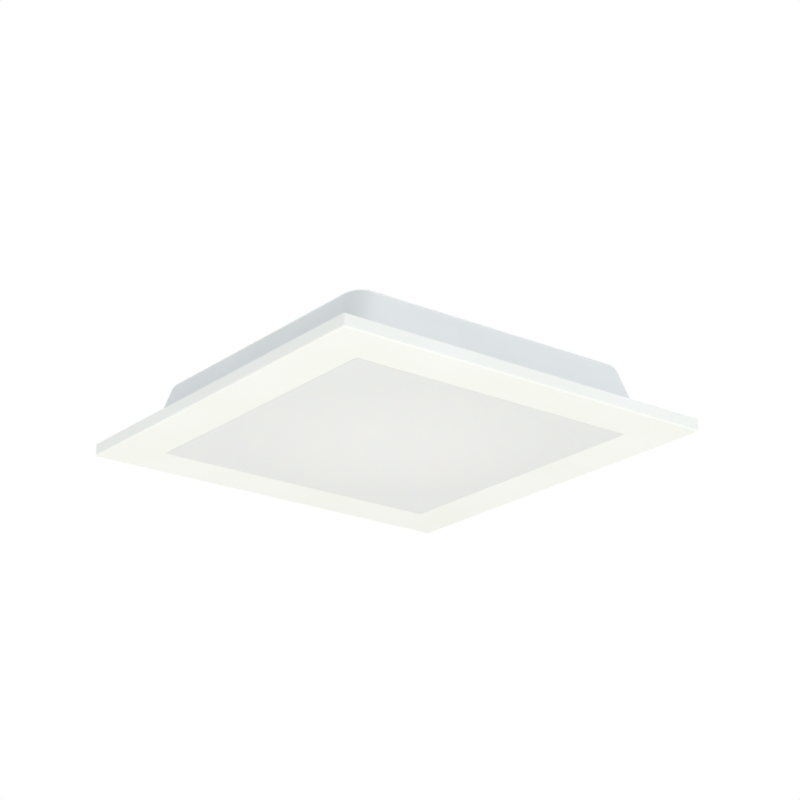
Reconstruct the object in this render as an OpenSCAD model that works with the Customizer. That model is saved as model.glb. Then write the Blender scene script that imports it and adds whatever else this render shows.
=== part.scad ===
// Square panel light: a flush opal window in a wide moulded rim, a tapered tray housing behind it,
// and on the back a driver box with a hinged terminal cover between two sliding spring clips.
// The origin is the middle of the ceiling contact face, on top of the ceiling gasket; +Z is up.

/* [Front plate] */
// Width and depth of the square front plate
plate_w = 200; // [170:1:300]
// Height of the visible edge of the plate
plate_h = 6; // [5.5:0.5:9]
// Radius of the upright corners of the plate
plate_corner_r = 1; // [0.9:0.1:3]
// Rounding of the lower edge of the plate
plate_edge_r = 0.8; // [0.4:0.1:1.2]
// Wall of the moulded front frame
frame_wall = 2; // [1.6:0.1:2.2]
// Width of the border between the plate's edge and the window
border_w = 24; // [20:0.5:27]

/* [Diffuser] */
// Wall of the opal diffuser
diffuser_t = 2; // [1.2:0.1:2.4]
// Gap round the diffuser in its window
diffuser_gap = 0.1; // [0.05:0.05:0.4]
// Reach of the diffuser's lip behind the rim
lip_w = 4; // [2.5:0.5:5]
// Thickness of that lip
lip_t = 1.5; // [1:0.1:1.6]
// Thickness of the seal on the lip
seal_t = 1; // [0.6:0.1:1.4]

/* [Housing] */
// How far the plate stands out past the foot of the tray
overhang = 15.4; // [13.5:0.1:17.5]
// How far the walls lean in over the whole height of the tray
wall_lean = 7.8; // [5:0.1:10]
// Height of the tray above the plate
tray_h = 27.7; // [25:0.1:40]
// Radius of the upright corners of the tray
tray_corner_r = 11; // [8:0.5:16]
// Rounding between the walls and the back
tray_fillet_r = 5.7; // [3.5:0.1:8]
// Wall of the moulded tray
tray_wall = 2; // [1.5:0.1:2.6]
// Thickness of the flange inside the front frame
flange_t = 2.6; // [2:0.1:3]
// Gap between the flange and the frame
flange_gap = 0.3; // [0.1:0.1:0.6]

/* [Ceiling gasket] */
// How far the gasket stands proud of the back
gasket_proud = 1; // [0.8:0.1:2]
// Width of the gasket's band
gasket_band = 7; // [4:0.5:8]

/* [Light engine] */
// Distance from the window's edge in to the light board's edge
board_margin = 10; // [7:0.5:14]
// Thickness of the light board
board_t = 1; // [0.8:0.1:1.6]
// Thickness of the aluminium plate above the board
spreader_t = 1.2; // [0.8:0.1:2]
// Light sources along each side
led_count = 5; // [3:2:5]
// Distance from the board's edge in to the outer light sources
led_edge = 14; // [11:0.5:18]
// Radius of the lens over each light source
lens_r = 6; // [4.5:0.5:7]
// Height of the lens
lens_h = 4; // [3:0.5:5]
// Sheet thickness of the white reflector
reflector_t = 0.8; // [0.6:0.1:1.2]

/* [Driver box] */
// Width of the box across the clips
box_w = 42; // [38:1:50]
// Length of the box
box_l = 72; // [64:1:90]
// Room between the cable's grommet and the top of the box walls
box_room = 1.3; // [1:0.1:4]
// Wall of the box
box_wall = 1.6; // [1.2:0.1:2]
// Thickness of the lid and of the cover
lid_t = 1.6; // [1.2:0.1:2.2]
// Length of the wiring compartment inside
wiring_l = 25.6; // [22:0.2:29]
// Radius of the hole for the mains cable
cable_r = 3.6; // [2.5:0.1:4]

/* [Spring clips] */
// Width of each sliding carriage
carriage_w = 22; // [20:0.5:26]
// Length of each sliding carriage
carriage_l = 16; // [15:0.5:20]
// Gap between a carriage and its rails
slide_gap = 0.3; // [0.2:0.05:0.5]
// Height of the pivot above the ceiling plane
pivot_z = 5.5; // [5:0.1:8]
// Radius of the pivot pin
pin_r = 1.5; // [1.2:0.1:1.8]
// Length of the arm from the pivot to the bend at its tip
arm_l = 27; // [22:0.5:28]
// Sheet thickness of the arm
arm_t = 1.2; // [0.8:0.1:1.6]
// Wire diameter of the torsion spring
wire_d = 0.8; // [0.5:0.1:0.9]
// Full turns of the torsion spring
spring_turns = 4; // [3:1:5]

/* [Hidden] */
$fn = 48;
slice = 0.01;
overlap = 0.5;
screw_gap = 0.05;
slot_w = 0.6;
end_play = 0.3;

// Widths that follow from the plate
window_w = plate_w - 2 * border_w;
board_w = window_w - 2 * board_margin;
tray_base_w = plate_w - 2 * overhang;
led_pitch = (board_w - 2 * led_edge) / (led_count - 1);

// Heights of the main faces, from the ceiling plane down
z_back = -gasket_proud;
z_ledge = z_back - tray_h;
z_under = z_ledge - plate_h;
z_border = z_under + frame_wall;
z_lip = z_border + lip_t;
z_seal = z_lip + seal_t;
z_flange = z_ledge - flange_t;

// Lean of the tray walls, and the middle of the arc that rounds them into the back
lean = atan(wall_lean / tray_h);
arc_z = z_back - tray_fillet_r;
arc_half = tray_base_w / 2 - (arc_z - z_ledge) * tan(lean) - tray_fillet_r / cos(lean);
arc_steps = 6;

// Half width of the tray at a height, with the wall offset inwards
function tray_half(z, inset) = tray_base_w / 2 - (z - z_ledge) * tan(lean) - inset / cos(lean);

// Levels of the tray form: [half width, corner radius, height]
function tray_levels(inset, low_z) = concat(
    [[tray_half(low_z, inset), tray_corner_r - inset, low_z]],
    [for (i = [0:arc_steps])
        let (turn = lean + (90 - lean) * i / arc_steps, r = tray_fillet_r - inset)
        [
            arc_half + r * cos(turn),
            tray_corner_r - inset - r * (cos(lean) - cos(turn)),
            arc_z + r * sin(turn)
        ]]
);

// Light engine, hung from the inside of the back
led_size = [3.5, 2.8, 0.7];
boss_h = 1;
board_boss_r = 3.2;
box_boss_r = 3;
z_inside = z_back - tray_wall;
z_spreader = z_inside - boss_h;
z_board = z_spreader - spreader_t;
z_leds = z_board - board_t;
spreader_w = board_w + 8;
board_screw_at = [
    for (x = [-1, 1], y = [-1, 1]) [x * (board_w / 2 - 6), y * (board_w / 2 - 6)],
    for (x = [-1, 1], y = [-1, 1]) [x * led_pitch * (led_count - 2) / 2, y * led_pitch / 2]
];
board_screw_r = 1.2;
board_head_r = 2.4;
board_head_h = 1.3;
lead_hole = [-led_pitch / 2, -led_pitch / 2];
lead_hole_r = 3;
connector_size = [7, 5, 3];
connector_x = lead_hole[0] - lead_hole_r - connector_size[0] / 2;

// Reflector tray between the board and the diffuser's seal
reflector_base = 2 * (tray_half(z_seal + reflector_t, tray_wall) - 1.7);
reflector_mouth = window_w + 3;
reflector_top = board_w + 1;
reflector_corner_r = tray_corner_r - tray_wall - 1;
press_rib_along = 0.3 * tray_base_w;

// Rim fixings
skirt_half = plate_w / 2 - frame_wall;
skirt_corner_r = 0.8;
lip_corner_r = 0.6;
fence_gap = 0.3;
fence_t = 1.2;
flange_half = skirt_half - flange_gap;
seal_in = tray_base_w / 2 + 1.4;
seal_out = seal_in + 4;
rim_screw_half = (seal_out + skirt_half) / 2;
rim_screw_along = 0.21 * plate_w;
rim_screw_r = 1.25;
rim_head_r = 2.5;
rim_boss_r = 2.8;
rim_screw_tip = z_under + 0.9;

// Ceiling gasket on the flat of the back
gasket_out = arc_half - 1.5;
gasket_in = gasket_out - gasket_band;
gasket_corner_r = 5;

// Driver box, centred on the back
grommet_gap = 0.3;
grommet_groove_r = cable_r + 1.2;
grommet_flange_r = cable_r + 2.3;
grommet_flange_t = 1.2;
box_corner_r = 3;
box_h = box_wall + grommet_gap + 2 * grommet_flange_r + box_room;
z_box_floor = z_back + box_wall;
z_box_top = z_back + box_h;
box_in = box_w / 2 - box_wall;
box_end = box_l / 2 - box_wall;
partition_y = box_end - wiring_l - box_wall / 2;
post_inset = 2.9;
lid_post_at = [
    for (x = [-1, 1], y = [-box_end + post_inset, partition_y - 4.5]) [x * (box_in - post_inset), y]
];
lid_post_r = 2.2;
lid_seat_r = 2.9;
lid_screw_r = 1;
lid_screw_l = 7;
lid_head_r = 2;
lid_head_h = 1.2;
box_screw_at = [
    for (x = [-9, 9]) [x, -box_end + post_inset],
    for (x = [-1, 1]) [x * (box_in - post_inset), box_end - post_inset]
];
box_screw_r = 1.1;
box_head_r = 2.2;
box_head_h = 1.3;

// Driver board; the parts on it are placed and sized by shares of the bay under the lid
pcb_t = 1.6;
pcb_gap = 0.4;
z_pcb = z_box_floor + 3;
z_parts = z_pcb + pcb_t;
bay_l = partition_y - box_wall / 2 + box_end;
bay_h = z_box_top - z_parts;
function in_bay(x, y) = [x * box_in, y * bay_l - box_end];
core_at = in_bay(0.1, 0.61);
core_size = [0.876 * box_in, 0.337 * bay_l, 0.636 * bay_h];
core_lift = 0.136 * bay_h;
core_leg = 0.3 * core_size[1];
core_wall = 0.07 * core_size[1];
core_window = [0.65 * core_size[0], (core_size[1] - core_leg) / 2 - core_wall];
bulk_at = in_bay(-0.72, 0.154);
bulk_size = [0.45 * bay_h, 0.36 * bay_l];
output_at = in_bay(0.77, 0.154);
output_size = [0.386 * bay_h, 0.29 * bay_l];
choke_at = in_bay(0.31, 0.202);
choke_r = 4;
choke_h = 0.8 * bay_h;
film_at = in_bay(-0.515, 0.863);
film_size = [6, 0.24 * bay_l, 0.86 * bay_h];
bridge_at = in_bay(-0.206, 0.202);
bridge_size = [5, 6.4, 2.6];
fuse_at = in_bay(0.58, 0.889);
fuse_r = 2;
fuse_half = 0.096 * bay_l;
sink_at = in_bay(0.876, 0.647);
sink_size = [1.6, 0.337 * bay_l, 0.91 * bay_h];
transistor_at = in_bay(-0.825, 0.647);
transistor_size = [4, 0.19 * bay_l, 0.73 * bay_h];
vent_pitch = 0.072 * bay_l;
vent_size = [16, 1.2];

// Terminal block in the wiring compartment
block_size = [20, 9, 0.91 * bay_h];
block_y = partition_y + box_wall / 2 + pcb_gap + block_size[1] / 2;
pcb_end = block_y + block_size[1] / 2 + 2 * pcb_gap;
pole_pitch = 6;
pole_r = 1.6;
entry_w = 3.4;
fin_t = 0.8;

// Leads from the driver board to the plug on the light board
lead_r = 0.65;
lead_bend_r = 2.2;
lead_y = 1.25;

// Mains cable entry in the end wall
cable_z = z_box_floor + grommet_gap + grommet_flange_r;
clamp_y = box_end - 4.4;
clamp_l = 4;
clamp_x = 9;
clamp_post_r = 2.6;
saddle_top = cable_z - cable_r / 2;
clamp_low = cable_z + 0.6;
clamp_high = cable_z + cable_r + 1;
clamp_screw_r = 1;
clamp_screw_l = 4;
clamp_head_r = 2;
clamp_head_h = 1.2;

// Hinge of the terminal cover, over the partition
hinge_pin_r = 0.8;
knuckle_r = 1.6;
hinge_z = z_box_top + 1.4;
knuckle_x = 12;
knuckle_l = 6;
cover_gap = 0.2;
cover_start = partition_y + knuckle_r + end_play;
barrel_x = knuckle_x - end_play;
tongue_size = [6, 1.6, 2];
tongue_x = 11;
finger_size = [14, 1.4, 1];

// Rails and carriages; the pivot stands over the middle of the carriage
rail_start = box_w / 2 + 2;
rail_end = gasket_in - 0.7;
rail_wall = 2.2;
rail_lip = 2.4;
rail_lip_t = 1.4;
stop_t = 1.5;
stop_h = 0.8;
carriage_t = 1.6;
z_carriage = z_back + slide_gap;
z_carriage_top = z_carriage + carriage_t;
rail_in = carriage_w / 2 + slide_gap;
rail_peg_r = 0.8;
rail_peg_h = 1.2;
rail_peg_at = [for (x = [rail_start + 4, rail_end - 4]) [x, rail_in + rail_wall / 2]];
pivot_x = rail_start + 1 + carriage_l / 2;
ear_t = 1.6;
ear_in = carriage_w / 2 - 3 - ear_t;
pin_head_r = 2.3;
pin_head_t = 0.8;

// Arm: its centre line runs from the pivot, down to the pad and up at the tip
arm_w = 2 * (ear_in - slide_gap);
pad_l = 8;
pad_w = 10;
pad_t = 1.4;
pad_rest_z = 0.6;
arm_drop = pivot_z - pad_rest_z - pad_t - arm_t / 2;
arm_start = [4.4, 0.2];
arm_bend = [arm_l * 0.6, -arm_drop];
arm_end = [arm_l, -arm_drop];
arm_tip = [arm_l + 2.5, -arm_drop + 1.6];
bend_cut = 1.2;
cheek_t = 1.2;
cheek_r = 3;
function strap_z(x) = arm_start[1]
    + (x - arm_start[0]) * (arm_bend[1] - arm_start[1]) / (arm_bend[0] - arm_start[0]);
strap_half = arm_t / 2 / cos(atan((arm_start[1] - arm_bend[1]) / (arm_bend[0] - arm_start[0])));
cheek_foot = arm_start[0] + 2.5;
cheek_outline = [
    [1, 2.6], [arm_start[0] + 1, 1.7], [arm_bend[0] + 1, -arm_drop + 1.4], [arm_bend[0] + 3, -arm_drop],
    arm_bend, [cheek_foot, strap_z(cheek_foot)], [1, -2.4]
];

// Torsion spring: two straight legs, tangent to a coil round the pin
coil_r = pin_r + wire_d / 2 + 0.5;
coil_half = ear_in - slide_gap - cheek_t - wire_d / 2 - 0.5;
leg_touch = wire_d / 2 + 0.05;
fixed_leg = [-carriage_l / 2 + 3, z_carriage_top - pivot_z + leg_touch];
moving_leg = [10.5, strap_z(10.5) + strap_half + leg_touch];
fixed_turn = atan2(fixed_leg[1], fixed_leg[0]) - acos(coil_r / norm(fixed_leg));
moving_turn = atan2(moving_leg[1], moving_leg[0]) + acos(coil_r / norm(moving_leg)) - 360;
coil_sweep = fixed_turn - moving_turn + 360 * spring_turns;
coil_steps = ceil(coil_sweep / 45);
coil_path = [for (i = [0:coil_steps])
    let (turn = fixed_turn - coil_sweep * i / coil_steps)
    [coil_r * cos(turn), -coil_half + 2 * coil_half * i / coil_steps, coil_r * sin(turn)]];
spring_path = concat(
    [[fixed_leg[0], -coil_half, fixed_leg[1]]], coil_path, [[moving_leg[0], coil_half, moving_leg[1]]]);
coil_gap = min(
    [for (i = [0:coil_steps - 5], j = [i + 5:coil_steps]) norm(coil_path[i] - coil_path[j])]) - wire_d;
echo(least_gap_of_spring_coil = coil_gap);

// Shared shapes
module round_square(w, r) {
    square([w - 2 * r, w], center = true);
    square([w, w - 2 * r], center = true);
    for (x = [-1, 1], y = [-1, 1])
        translate([x * (w / 2 - r), y * (w / 2 - r)]) circle(r);
}

module slab(w, r, low, high) {
    translate([0, 0, low]) linear_extrude(high - low) round_square(w, r);
}

module ring(w_out, r_out, w_in, r_in, low, high) {
    translate([0, 0, low]) linear_extrude(high - low) difference() {
        round_square(w_out, r_out);
        round_square(w_in, r_in);
    }
}

module rod(r, low, high) {
    translate([0, 0, low]) cylinder(r = r, h = high - low);
}

module block(size, low) {
    translate([-size[0] / 2, -size[1] / 2, low]) cube(size);
}

module at_each(places) {
    for (place = places) translate([place[0], place[1], 0]) children();
}

// The four sides of the square, two places on each
module round_the_rim(half, along) {
    for (turn = [0:90:270], y = [-along, along]) rotate(turn) translate([half, y, 0]) children();
}

function unit(v) = v / norm(v);

// Points of a curve that rounds the corner of a bent line
function bend(before, at, after) =
    let (a = at + bend_cut * unit(before - at), b = at + bend_cut * unit(after - at))
    [for (t = [0:0.25:1]) (1 - t) * (1 - t) * a + 2 * t * (1 - t) * at + t * t * b];

// The point of a bent line moved sideways
function beside(points, i, d) =
    let (
        last = len(points) - 1,
        before = unit(points[max(i, 1)] - points[max(i, 1) - 1]),
        after = unit(points[min(i, last - 1) + 1] - points[min(i, last - 1)])
    )
    points[i] + d * [-before[1] - after[1], before[0] + after[0]] / (1 + before * after);

// A strip of even thickness along a bent line
module strip(points, t) {
    last = len(points) - 1;
    polygon(concat(
        [for (i = [0:last]) beside(points, i, t / 2)],
        [for (i = [0:last]) beside(points, last - i, -t / 2)]
    ));
}

// A flat outline in x and z, given a thickness along y
module upright(y_low, y_high) {
    translate([0, y_high, 0]) rotate([90, 0, 0]) linear_extrude(y_high - y_low) children();
}

// A flat outline in y and z, given a length along x
module upright_along_x(x_low, x_high) {
    translate([x_low, 0, 0]) rotate([90, 0, 90]) linear_extrude(x_high - x_low) children();
}

module along_x(r, low, high) {
    translate([low, 0, 0]) rotate([0, 90, 0]) cylinder(r = r, h = high - low);
}

module along_y(r, low, high) {
    translate([0, low, 0]) rotate([-90, 0, 0]) cylinder(r = r, h = high - low);
}

// Once as it is and once mirrored in y
module both_ways() {
    for (y = [-1, 1]) mirror([0, y < 0 ? 1 : 0, 0]) children();
}

// Two slots across a screw head
module cross_slot(length, low, high) {
    for (turn = [0, 90]) rotate(turn) block([length, slot_w, high - low], low);
}

module pan_screw(r, head_r, head_h, low, seat) {
    difference() {
        union() {
            rod(r, low, seat);
            rod(head_r, seat, seat + head_h);
        }
        cross_slot(1.3 * head_r, seat + head_h / 2, seat + head_h + overlap);
    }
}

// A round wire along points that all lie near planes of constant y
module wire(points, r, sides) {
    last = len(points) - 1;
    rings = [for (i = [0:last])
        let (
            ahead = unit(points[min(i + 1, last)] - points[max(i - 1, 0)]),
            across = unit(cross(ahead, [0, 1, 0])),
            other = cross(across, ahead)
        )
        for (k = [0:sides - 1])
            points[i] + r * (cos(360 * k / sides) * across + sin(360 * k / sides) * other)];
    sleeve = [for (i = [0:last - 1], k = [0:sides - 1])
        let (a = i * sides + k, b = i * sides + (k + 1) % sides)
        each [[a, b, b + sides], [a, b + sides, a + sides]]];
    near_end = [for (k = [1:sides - 2]) [0, k + 1, k]];
    far = last * sides;
    far_end = [for (k = [1:sides - 2]) [far, far + k, far + k + 1]];
    polyhedron(rings, concat(sleeve, near_end, far_end));
}

// The right-hand clip stands on +X, and the left-hand one is its mirror image
module clip_side(side) {
    mirror([side < 0 ? 1 : 0, 0, 0]) children();
}

module at_pivot(side) {
    clip_side(side) translate([pivot_x, 0, pivot_z]) children();
}

// Front plate
module front_frame() {
    fence_in = window_w + 2 * lip_w + 2 * fence_gap;
    color("#f5f5ee") {
        difference() {
            hull() {
                slab(plate_w, plate_corner_r, z_ledge - slice, z_ledge);
                for (i = [0:4])
                    let (turn = 90 * i / 4, inset = plate_edge_r * (1 - sin(turn)))
                    slab(plate_w - 2 * inset, plate_corner_r,
                        z_under + plate_edge_r * (1 - cos(turn)),
                        z_under + plate_edge_r * (1 - cos(turn)) + slice);
            }
            slab(2 * skirt_half, skirt_corner_r, z_border, z_ledge + overlap);
            block([window_w, window_w, frame_wall + 2 * overlap], z_under - overlap);
            round_the_rim(rim_screw_half, rim_screw_along)
                rod(rim_screw_r + screw_gap, rim_screw_tip - 0.2, z_border);
        }
        // Fence that keeps the diffuser's lip in place
        ring(
            fence_in + 2 * fence_t, lip_corner_r + fence_t, fence_in, lip_corner_r,
            z_border - overlap, z_lip - 0.3
        );
        round_the_rim(rim_screw_half, rim_screw_along) difference() {
            rod(rim_boss_r, z_border - overlap, z_flange);
            rod(rim_screw_r + screw_gap, rim_screw_tip, z_ledge);
        }
    }
}

module diffuser() {
    lens_w = window_w - 2 * diffuser_gap;
    color("#eff0eb") difference() {
        union() {
            block([lens_w, lens_w, frame_wall + lip_t], z_under);
            slab(window_w + 2 * lip_w, lip_corner_r, z_border, z_lip);
        }
        block([lens_w - 2 * diffuser_t, lens_w - 2 * diffuser_t, plate_h], z_under + diffuser_t);
    }
}

module diffuser_seal() {
    outer = window_w + 2 * lip_w - 0.4;
    color("#e8e8e4") ring(outer, lip_corner_r, outer - 1.4 * lip_w, lip_corner_r, z_lip, z_seal);
}

module frame_seal() {
    color("#d9dad6") ring(2 * seal_out, 3, 2 * seal_in, 2, z_border, z_flange);
}

// White tray that turns the light down; holes let the lenses, screws and plug through its floor
module reflector() {
    color("#f8f8f5") difference() {
        union() {
            hull() {
                slab(reflector_top, 1, z_leds - slice, z_leds);
                slab(reflector_mouth, 1, z_seal, z_seal + slice);
            }
            slab(reflector_base, reflector_corner_r, z_seal, z_seal + reflector_t);
        }
        hull() {
            slab(reflector_top - 2 * reflector_t, 0.5, z_leds - reflector_t - slice, z_leds - reflector_t);
            slab(reflector_mouth - 2 * reflector_t, 0.5, z_seal - slice, z_seal);
        }
        at_each(led_places()) rod(lens_r + 0.5, z_leds - 2 * reflector_t, z_leds + overlap);
        at_each(board_screw_at) rod(board_head_r + 0.4, z_leds - 2 * reflector_t, z_leds + overlap);
        translate([(connector_x + lead_hole[0]) / 2, lead_hole[1], 0])
            block([lead_hole[0] - connector_x + 9, 8, 2 * reflector_t + overlap], z_leds - 2 * reflector_t);
    }
}

// Light engine
function led_places() =
    let (most = (led_count - 1) / 2)
    [for (x = [-most:most], y = [-most:most]) [x * led_pitch, y * led_pitch]];

module led_board() {
    color("#f2f3f0") difference() {
        slab(board_w, 2, z_leds, z_board);
        at_each(board_screw_at) rod(board_screw_r + 0.3, z_leds - overlap, z_board + overlap);
        at_each([lead_hole]) rod(lead_hole_r, z_leds - overlap, z_board + overlap);
    }
}

module led_chips() {
    color("#e9d77a") at_each(led_places()) block(led_size, z_leds - led_size[2]);
}

// Each lens is a dome with a dimple over the light source and a pocket round it
module led_lenses() {
    pocket_r = 2.4;
    dome_r = 1.6 * lens_r;
    dimple_r = 3.4;
    dimple_h = 0.8;
    color("#dfe6ea") at_each(led_places()) translate([0, 0, z_leds]) mirror([0, 0, 1]) difference() {
        intersection() {
            rod(lens_r, 0, lens_h);
            translate([0, 0, lens_h - dome_r]) sphere(dome_r);
        }
        rod(pocket_r, -overlap, led_size[2] + 0.9);
        translate([0, 0, lens_h + dimple_r - dimple_h]) sphere(dimple_r);
    }
}

module led_connector() {
    color("#f4f2ea") translate([connector_x, lead_hole[1], 0]) difference() {
        block(connector_size, z_leds - connector_size[2]);
        for (y = [-lead_y, lead_y])
            translate([0, y, z_leds - connector_size[2] / 2]) along_x(lead_r + 0.1, 0, connector_size[0]);
    }
}

module board_screws() {
    color("#c9cbcc") at_each(board_screw_at) difference() {
        union() {
            rod(board_screw_r, z_leds, z_back - 0.8);
            rod(board_head_r, z_leds - board_head_h, z_leds);
        }
        cross_slot(1.2 * board_head_r, z_leds - board_head_h - overlap, z_leds - board_head_h / 2);
    }
}

module heat_spreader() {
    color("#c2c5c8") difference() {
        slab(spreader_w, 6, z_board, z_spreader);
        at_each(board_screw_at) rod(board_screw_r + 0.4, z_board - overlap, z_spreader + overlap);
        at_each([lead_hole]) rod(lead_hole_r + 0.5, z_board - overlap, z_spreader + overlap);
    }
}

// Tray housing
module tray_form(inset, low_z) {
    hull() for (level = tray_levels(inset, low_z))
        slab(2 * level[0], level[1], level[2] - slice, level[2]);
}

// A rib from the wall down to the reflector's edge, which it holds on the seal
module press_rib() {
    foot = z_seal + reflector_t;
    top = z_inside - 6;
    upright(-1, 1) polygon([
        [reflector_base / 2 - 1.6, foot],
        [tray_half(foot, tray_wall) + 1, foot],
        [tray_half(top, tray_wall) + 1, top],
        [tray_half(top, tray_wall) - 0.4, top]
    ]);
}

module rear_housing() {
    color("#e3e7e9") {
        difference() {
            union() {
                tray_form(0, z_ledge);
                slab(2 * flange_half, 1, z_flange, z_ledge);
            }
            tray_form(tray_wall, z_flange - overlap);
            round_the_rim(rim_screw_half, rim_screw_along) {
                rod(rim_screw_r + 0.2, z_flange - overlap, z_ledge + overlap);
                translate([0, 0, z_ledge - rim_head_r])
                    cylinder(r1 = 0, r2 = rim_head_r + overlap, h = rim_head_r + overlap);
            }
            at_each(board_screw_at) rod(board_screw_r + screw_gap, z_spreader, z_back - 0.6);
            at_each(box_screw_at) rod(box_screw_r + screw_gap, z_inside - boss_h + 0.4, z_back + overlap);
            at_each([lead_hole]) rod(lead_hole_r, z_inside - overlap, z_back + overlap);
            for (side = [-1, 1]) clip_side(side) both_ways()
                at_each(rail_peg_at) rod(rail_peg_r + screw_gap, z_back - rail_peg_h - 0.1, z_back + overlap);
        }
        at_each(board_screw_at) difference() {
            rod(board_boss_r, z_spreader, z_inside + overlap);
            rod(board_screw_r + screw_gap, z_spreader - overlap, z_inside + 2 * overlap);
        }
        at_each(box_screw_at) difference() {
            rod(box_boss_r, z_spreader, z_inside + overlap);
            rod(box_screw_r + screw_gap, z_inside - boss_h + 0.4, z_inside + 2 * overlap);
        }
        round_the_rim(0, press_rib_along) press_rib();
    }
}

module frame_screws() {
    color("#c9cbcc") round_the_rim(rim_screw_half, rim_screw_along) {
        rod(rim_screw_r, rim_screw_tip, z_ledge - rim_head_r / 2);
        translate([0, 0, z_ledge - rim_head_r]) difference() {
            cylinder(r1 = 0, r2 = rim_head_r, h = rim_head_r);
            cross_slot(rim_head_r, rim_head_r - 0.7, rim_head_r + overlap);
        }
    }
}

module ceiling_gasket() {
    color("#3b3d3f") ring(2 * gasket_out, gasket_corner_r, 2 * gasket_in, gasket_corner_r - 2, z_back, 0);
}

// Driver box
module box_outline(grow) {
    x = box_w / 2 + grow;
    y = box_l / 2 + grow;
    r = box_corner_r + grow;
    square([2 * (x - r), 2 * y], center = true);
    square([2 * x, 2 * (y - r)], center = true);
    for (i = [-1, 1], j = [-1, 1]) translate([i * (x - r), j * (y - r)]) circle(r);
}

module driver_box() {
    color("#eceeed") {
        difference() {
            union() {
                translate([0, 0, z_back]) linear_extrude(box_h) difference() {
                    box_outline(0);
                    box_outline(-box_wall);
                }
                translate([0, 0, z_back]) linear_extrude(box_wall) box_outline(0);
                translate([0, partition_y, 0]) block([2 * box_in + overlap, box_wall, box_h - 0.6], z_back);
            }
            at_each(box_screw_at) rod(box_screw_r + 0.3, z_back - overlap, z_box_floor + overlap);
            at_each([lead_hole]) rod(lead_hole_r, z_back - overlap, z_box_floor + overlap);
            translate([0, box_l / 2 - box_wall / 2, cable_z])
                along_y(grommet_groove_r + screw_gap, -box_wall, box_wall);
            // Slot in the partition for the board
            translate([0, partition_y, 0]) block([2 * box_in - 0.4, 2 * box_wall, pcb_t + 0.4], z_pcb - 0.2);
            // Room for the cover's hinge barrel over the partition
            translate([0, partition_y, 0]) block([2 * knuckle_x, 2 * box_wall, box_h], z_box_top - 0.8);
        }
        // Posts that carry the board on their shoulders and the lid on their tops
        at_each(lid_post_at) difference() {
            union() {
                rod(lid_seat_r, z_box_floor - overlap, z_pcb);
                rod(lid_post_r, z_box_floor, z_box_top);
            }
            rod(lid_screw_r + screw_gap, z_box_top - lid_screw_l - 0.2, z_box_top + overlap);
        }
        // Saddle and posts of the cable clamp
        translate([0, clamp_y, 0]) {
            difference() {
                block([2 * clamp_x - 2, clamp_l, saddle_top - z_box_floor + overlap], z_box_floor - overlap);
                translate([0, 0, cable_z]) along_y(cable_r, -clamp_l, clamp_l);
            }
            for (x = [-clamp_x, clamp_x]) translate([x, 0, 0]) difference() {
                rod(clamp_post_r, z_box_floor - overlap, clamp_low);
                rod(clamp_screw_r + screw_gap, clamp_low - clamp_screw_l - 0.2, clamp_low + overlap);
            }
        }
        // Knuckles of the terminal cover's hinge
        for (side = [-1, 1])
            translate([side * (knuckle_x + knuckle_l / 2), partition_y, hinge_z]) difference() {
                union() {
                    along_x(knuckle_r, -knuckle_l / 2, knuckle_l / 2);
                    translate([-knuckle_l / 2, -box_wall / 2, z_box_top - hinge_z - 2])
                        cube([knuckle_l, box_wall, hinge_z - z_box_top + 2]);
                }
                along_x(hinge_pin_r + 0.03, -knuckle_l, knuckle_l);
            }
    }
}

module box_screws() {
    color("#c9cbcc") at_each(box_screw_at)
        pan_screw(box_screw_r, box_head_r, box_head_h, z_inside - boss_h + 0.6, z_box_floor);
}

module driver_board() {
    low_y = -box_end + pcb_gap;
    half_x = box_in - pcb_gap;
    color("#2f6b46") difference() {
        translate([-half_x, low_y, z_pcb]) cube([2 * half_x, pcb_end - low_y, pcb_t]);
        at_each(lid_post_at) rod(lid_post_r + 0.2, z_pcb - overlap, z_parts + overlap);
    }
}

// Two E halves round the winding, whose centre leg runs along x
module transformer_core() {
    color("#4a4d50") translate([core_at[0], core_at[1], 0]) difference() {
        block(core_size, z_parts + core_lift);
        for (y = [-1, 1]) translate([0, y * (core_leg + core_window[1]) / 2, 0])
            block([core_window[0], core_window[1], 2 * core_size[2]], z_parts);
    }
}

module transformer_winding() {
    wide = core_leg + 2 * core_window[1] - 0.2;
    color("#d9a944") translate([core_at[0], core_at[1], 0]) difference() {
        block([core_window[0] - 0.4, wide, core_size[2] + 2 * core_lift], z_parts);
        block([core_window[0], core_leg + 0.2, core_size[2] + 0.2], z_parts + core_lift - 0.1);
    }
}

// A capacitor can lying on the board, with its rolled groove and sleeve
module lying_can(r, l) {
    translate([0, 0, z_parts + r]) rotate([-90, 0, 0]) rotate_extrude()
        polygon([
            [0, 0], [r - 0.5, 0], [r, 0.5], [r, 1.6], [r - 0.4, 2], [r, 2.4],
            [r, l - 0.4], [r - 0.4, l], [0, l]
        ]);
}

module bulk_capacitor() {
    color("#3a3f46") at_each([bulk_at]) lying_can(bulk_size[0], bulk_size[1]);
}

module output_capacitor() {
    color("#33557a") at_each([output_at]) lying_can(output_size[0], output_size[1]);
}

module film_capacitor() {
    color("#c8b64a") at_each([film_at]) block(film_size, z_parts);
}

// Drum choke: a waisted ferrite with the wire wound in its waist
module input_choke() {
    color("#6e4b2c") translate([choke_at[0], choke_at[1], z_parts]) rotate_extrude()
        polygon([
            [0, 0], [choke_r, 0], [choke_r, 1.2], [choke_r - 0.5, 1.2],
            [choke_r - 0.5, choke_h - 1.2], [choke_r, choke_h - 1.2], [choke_r, choke_h], [0, choke_h]
        ]);
}

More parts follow.
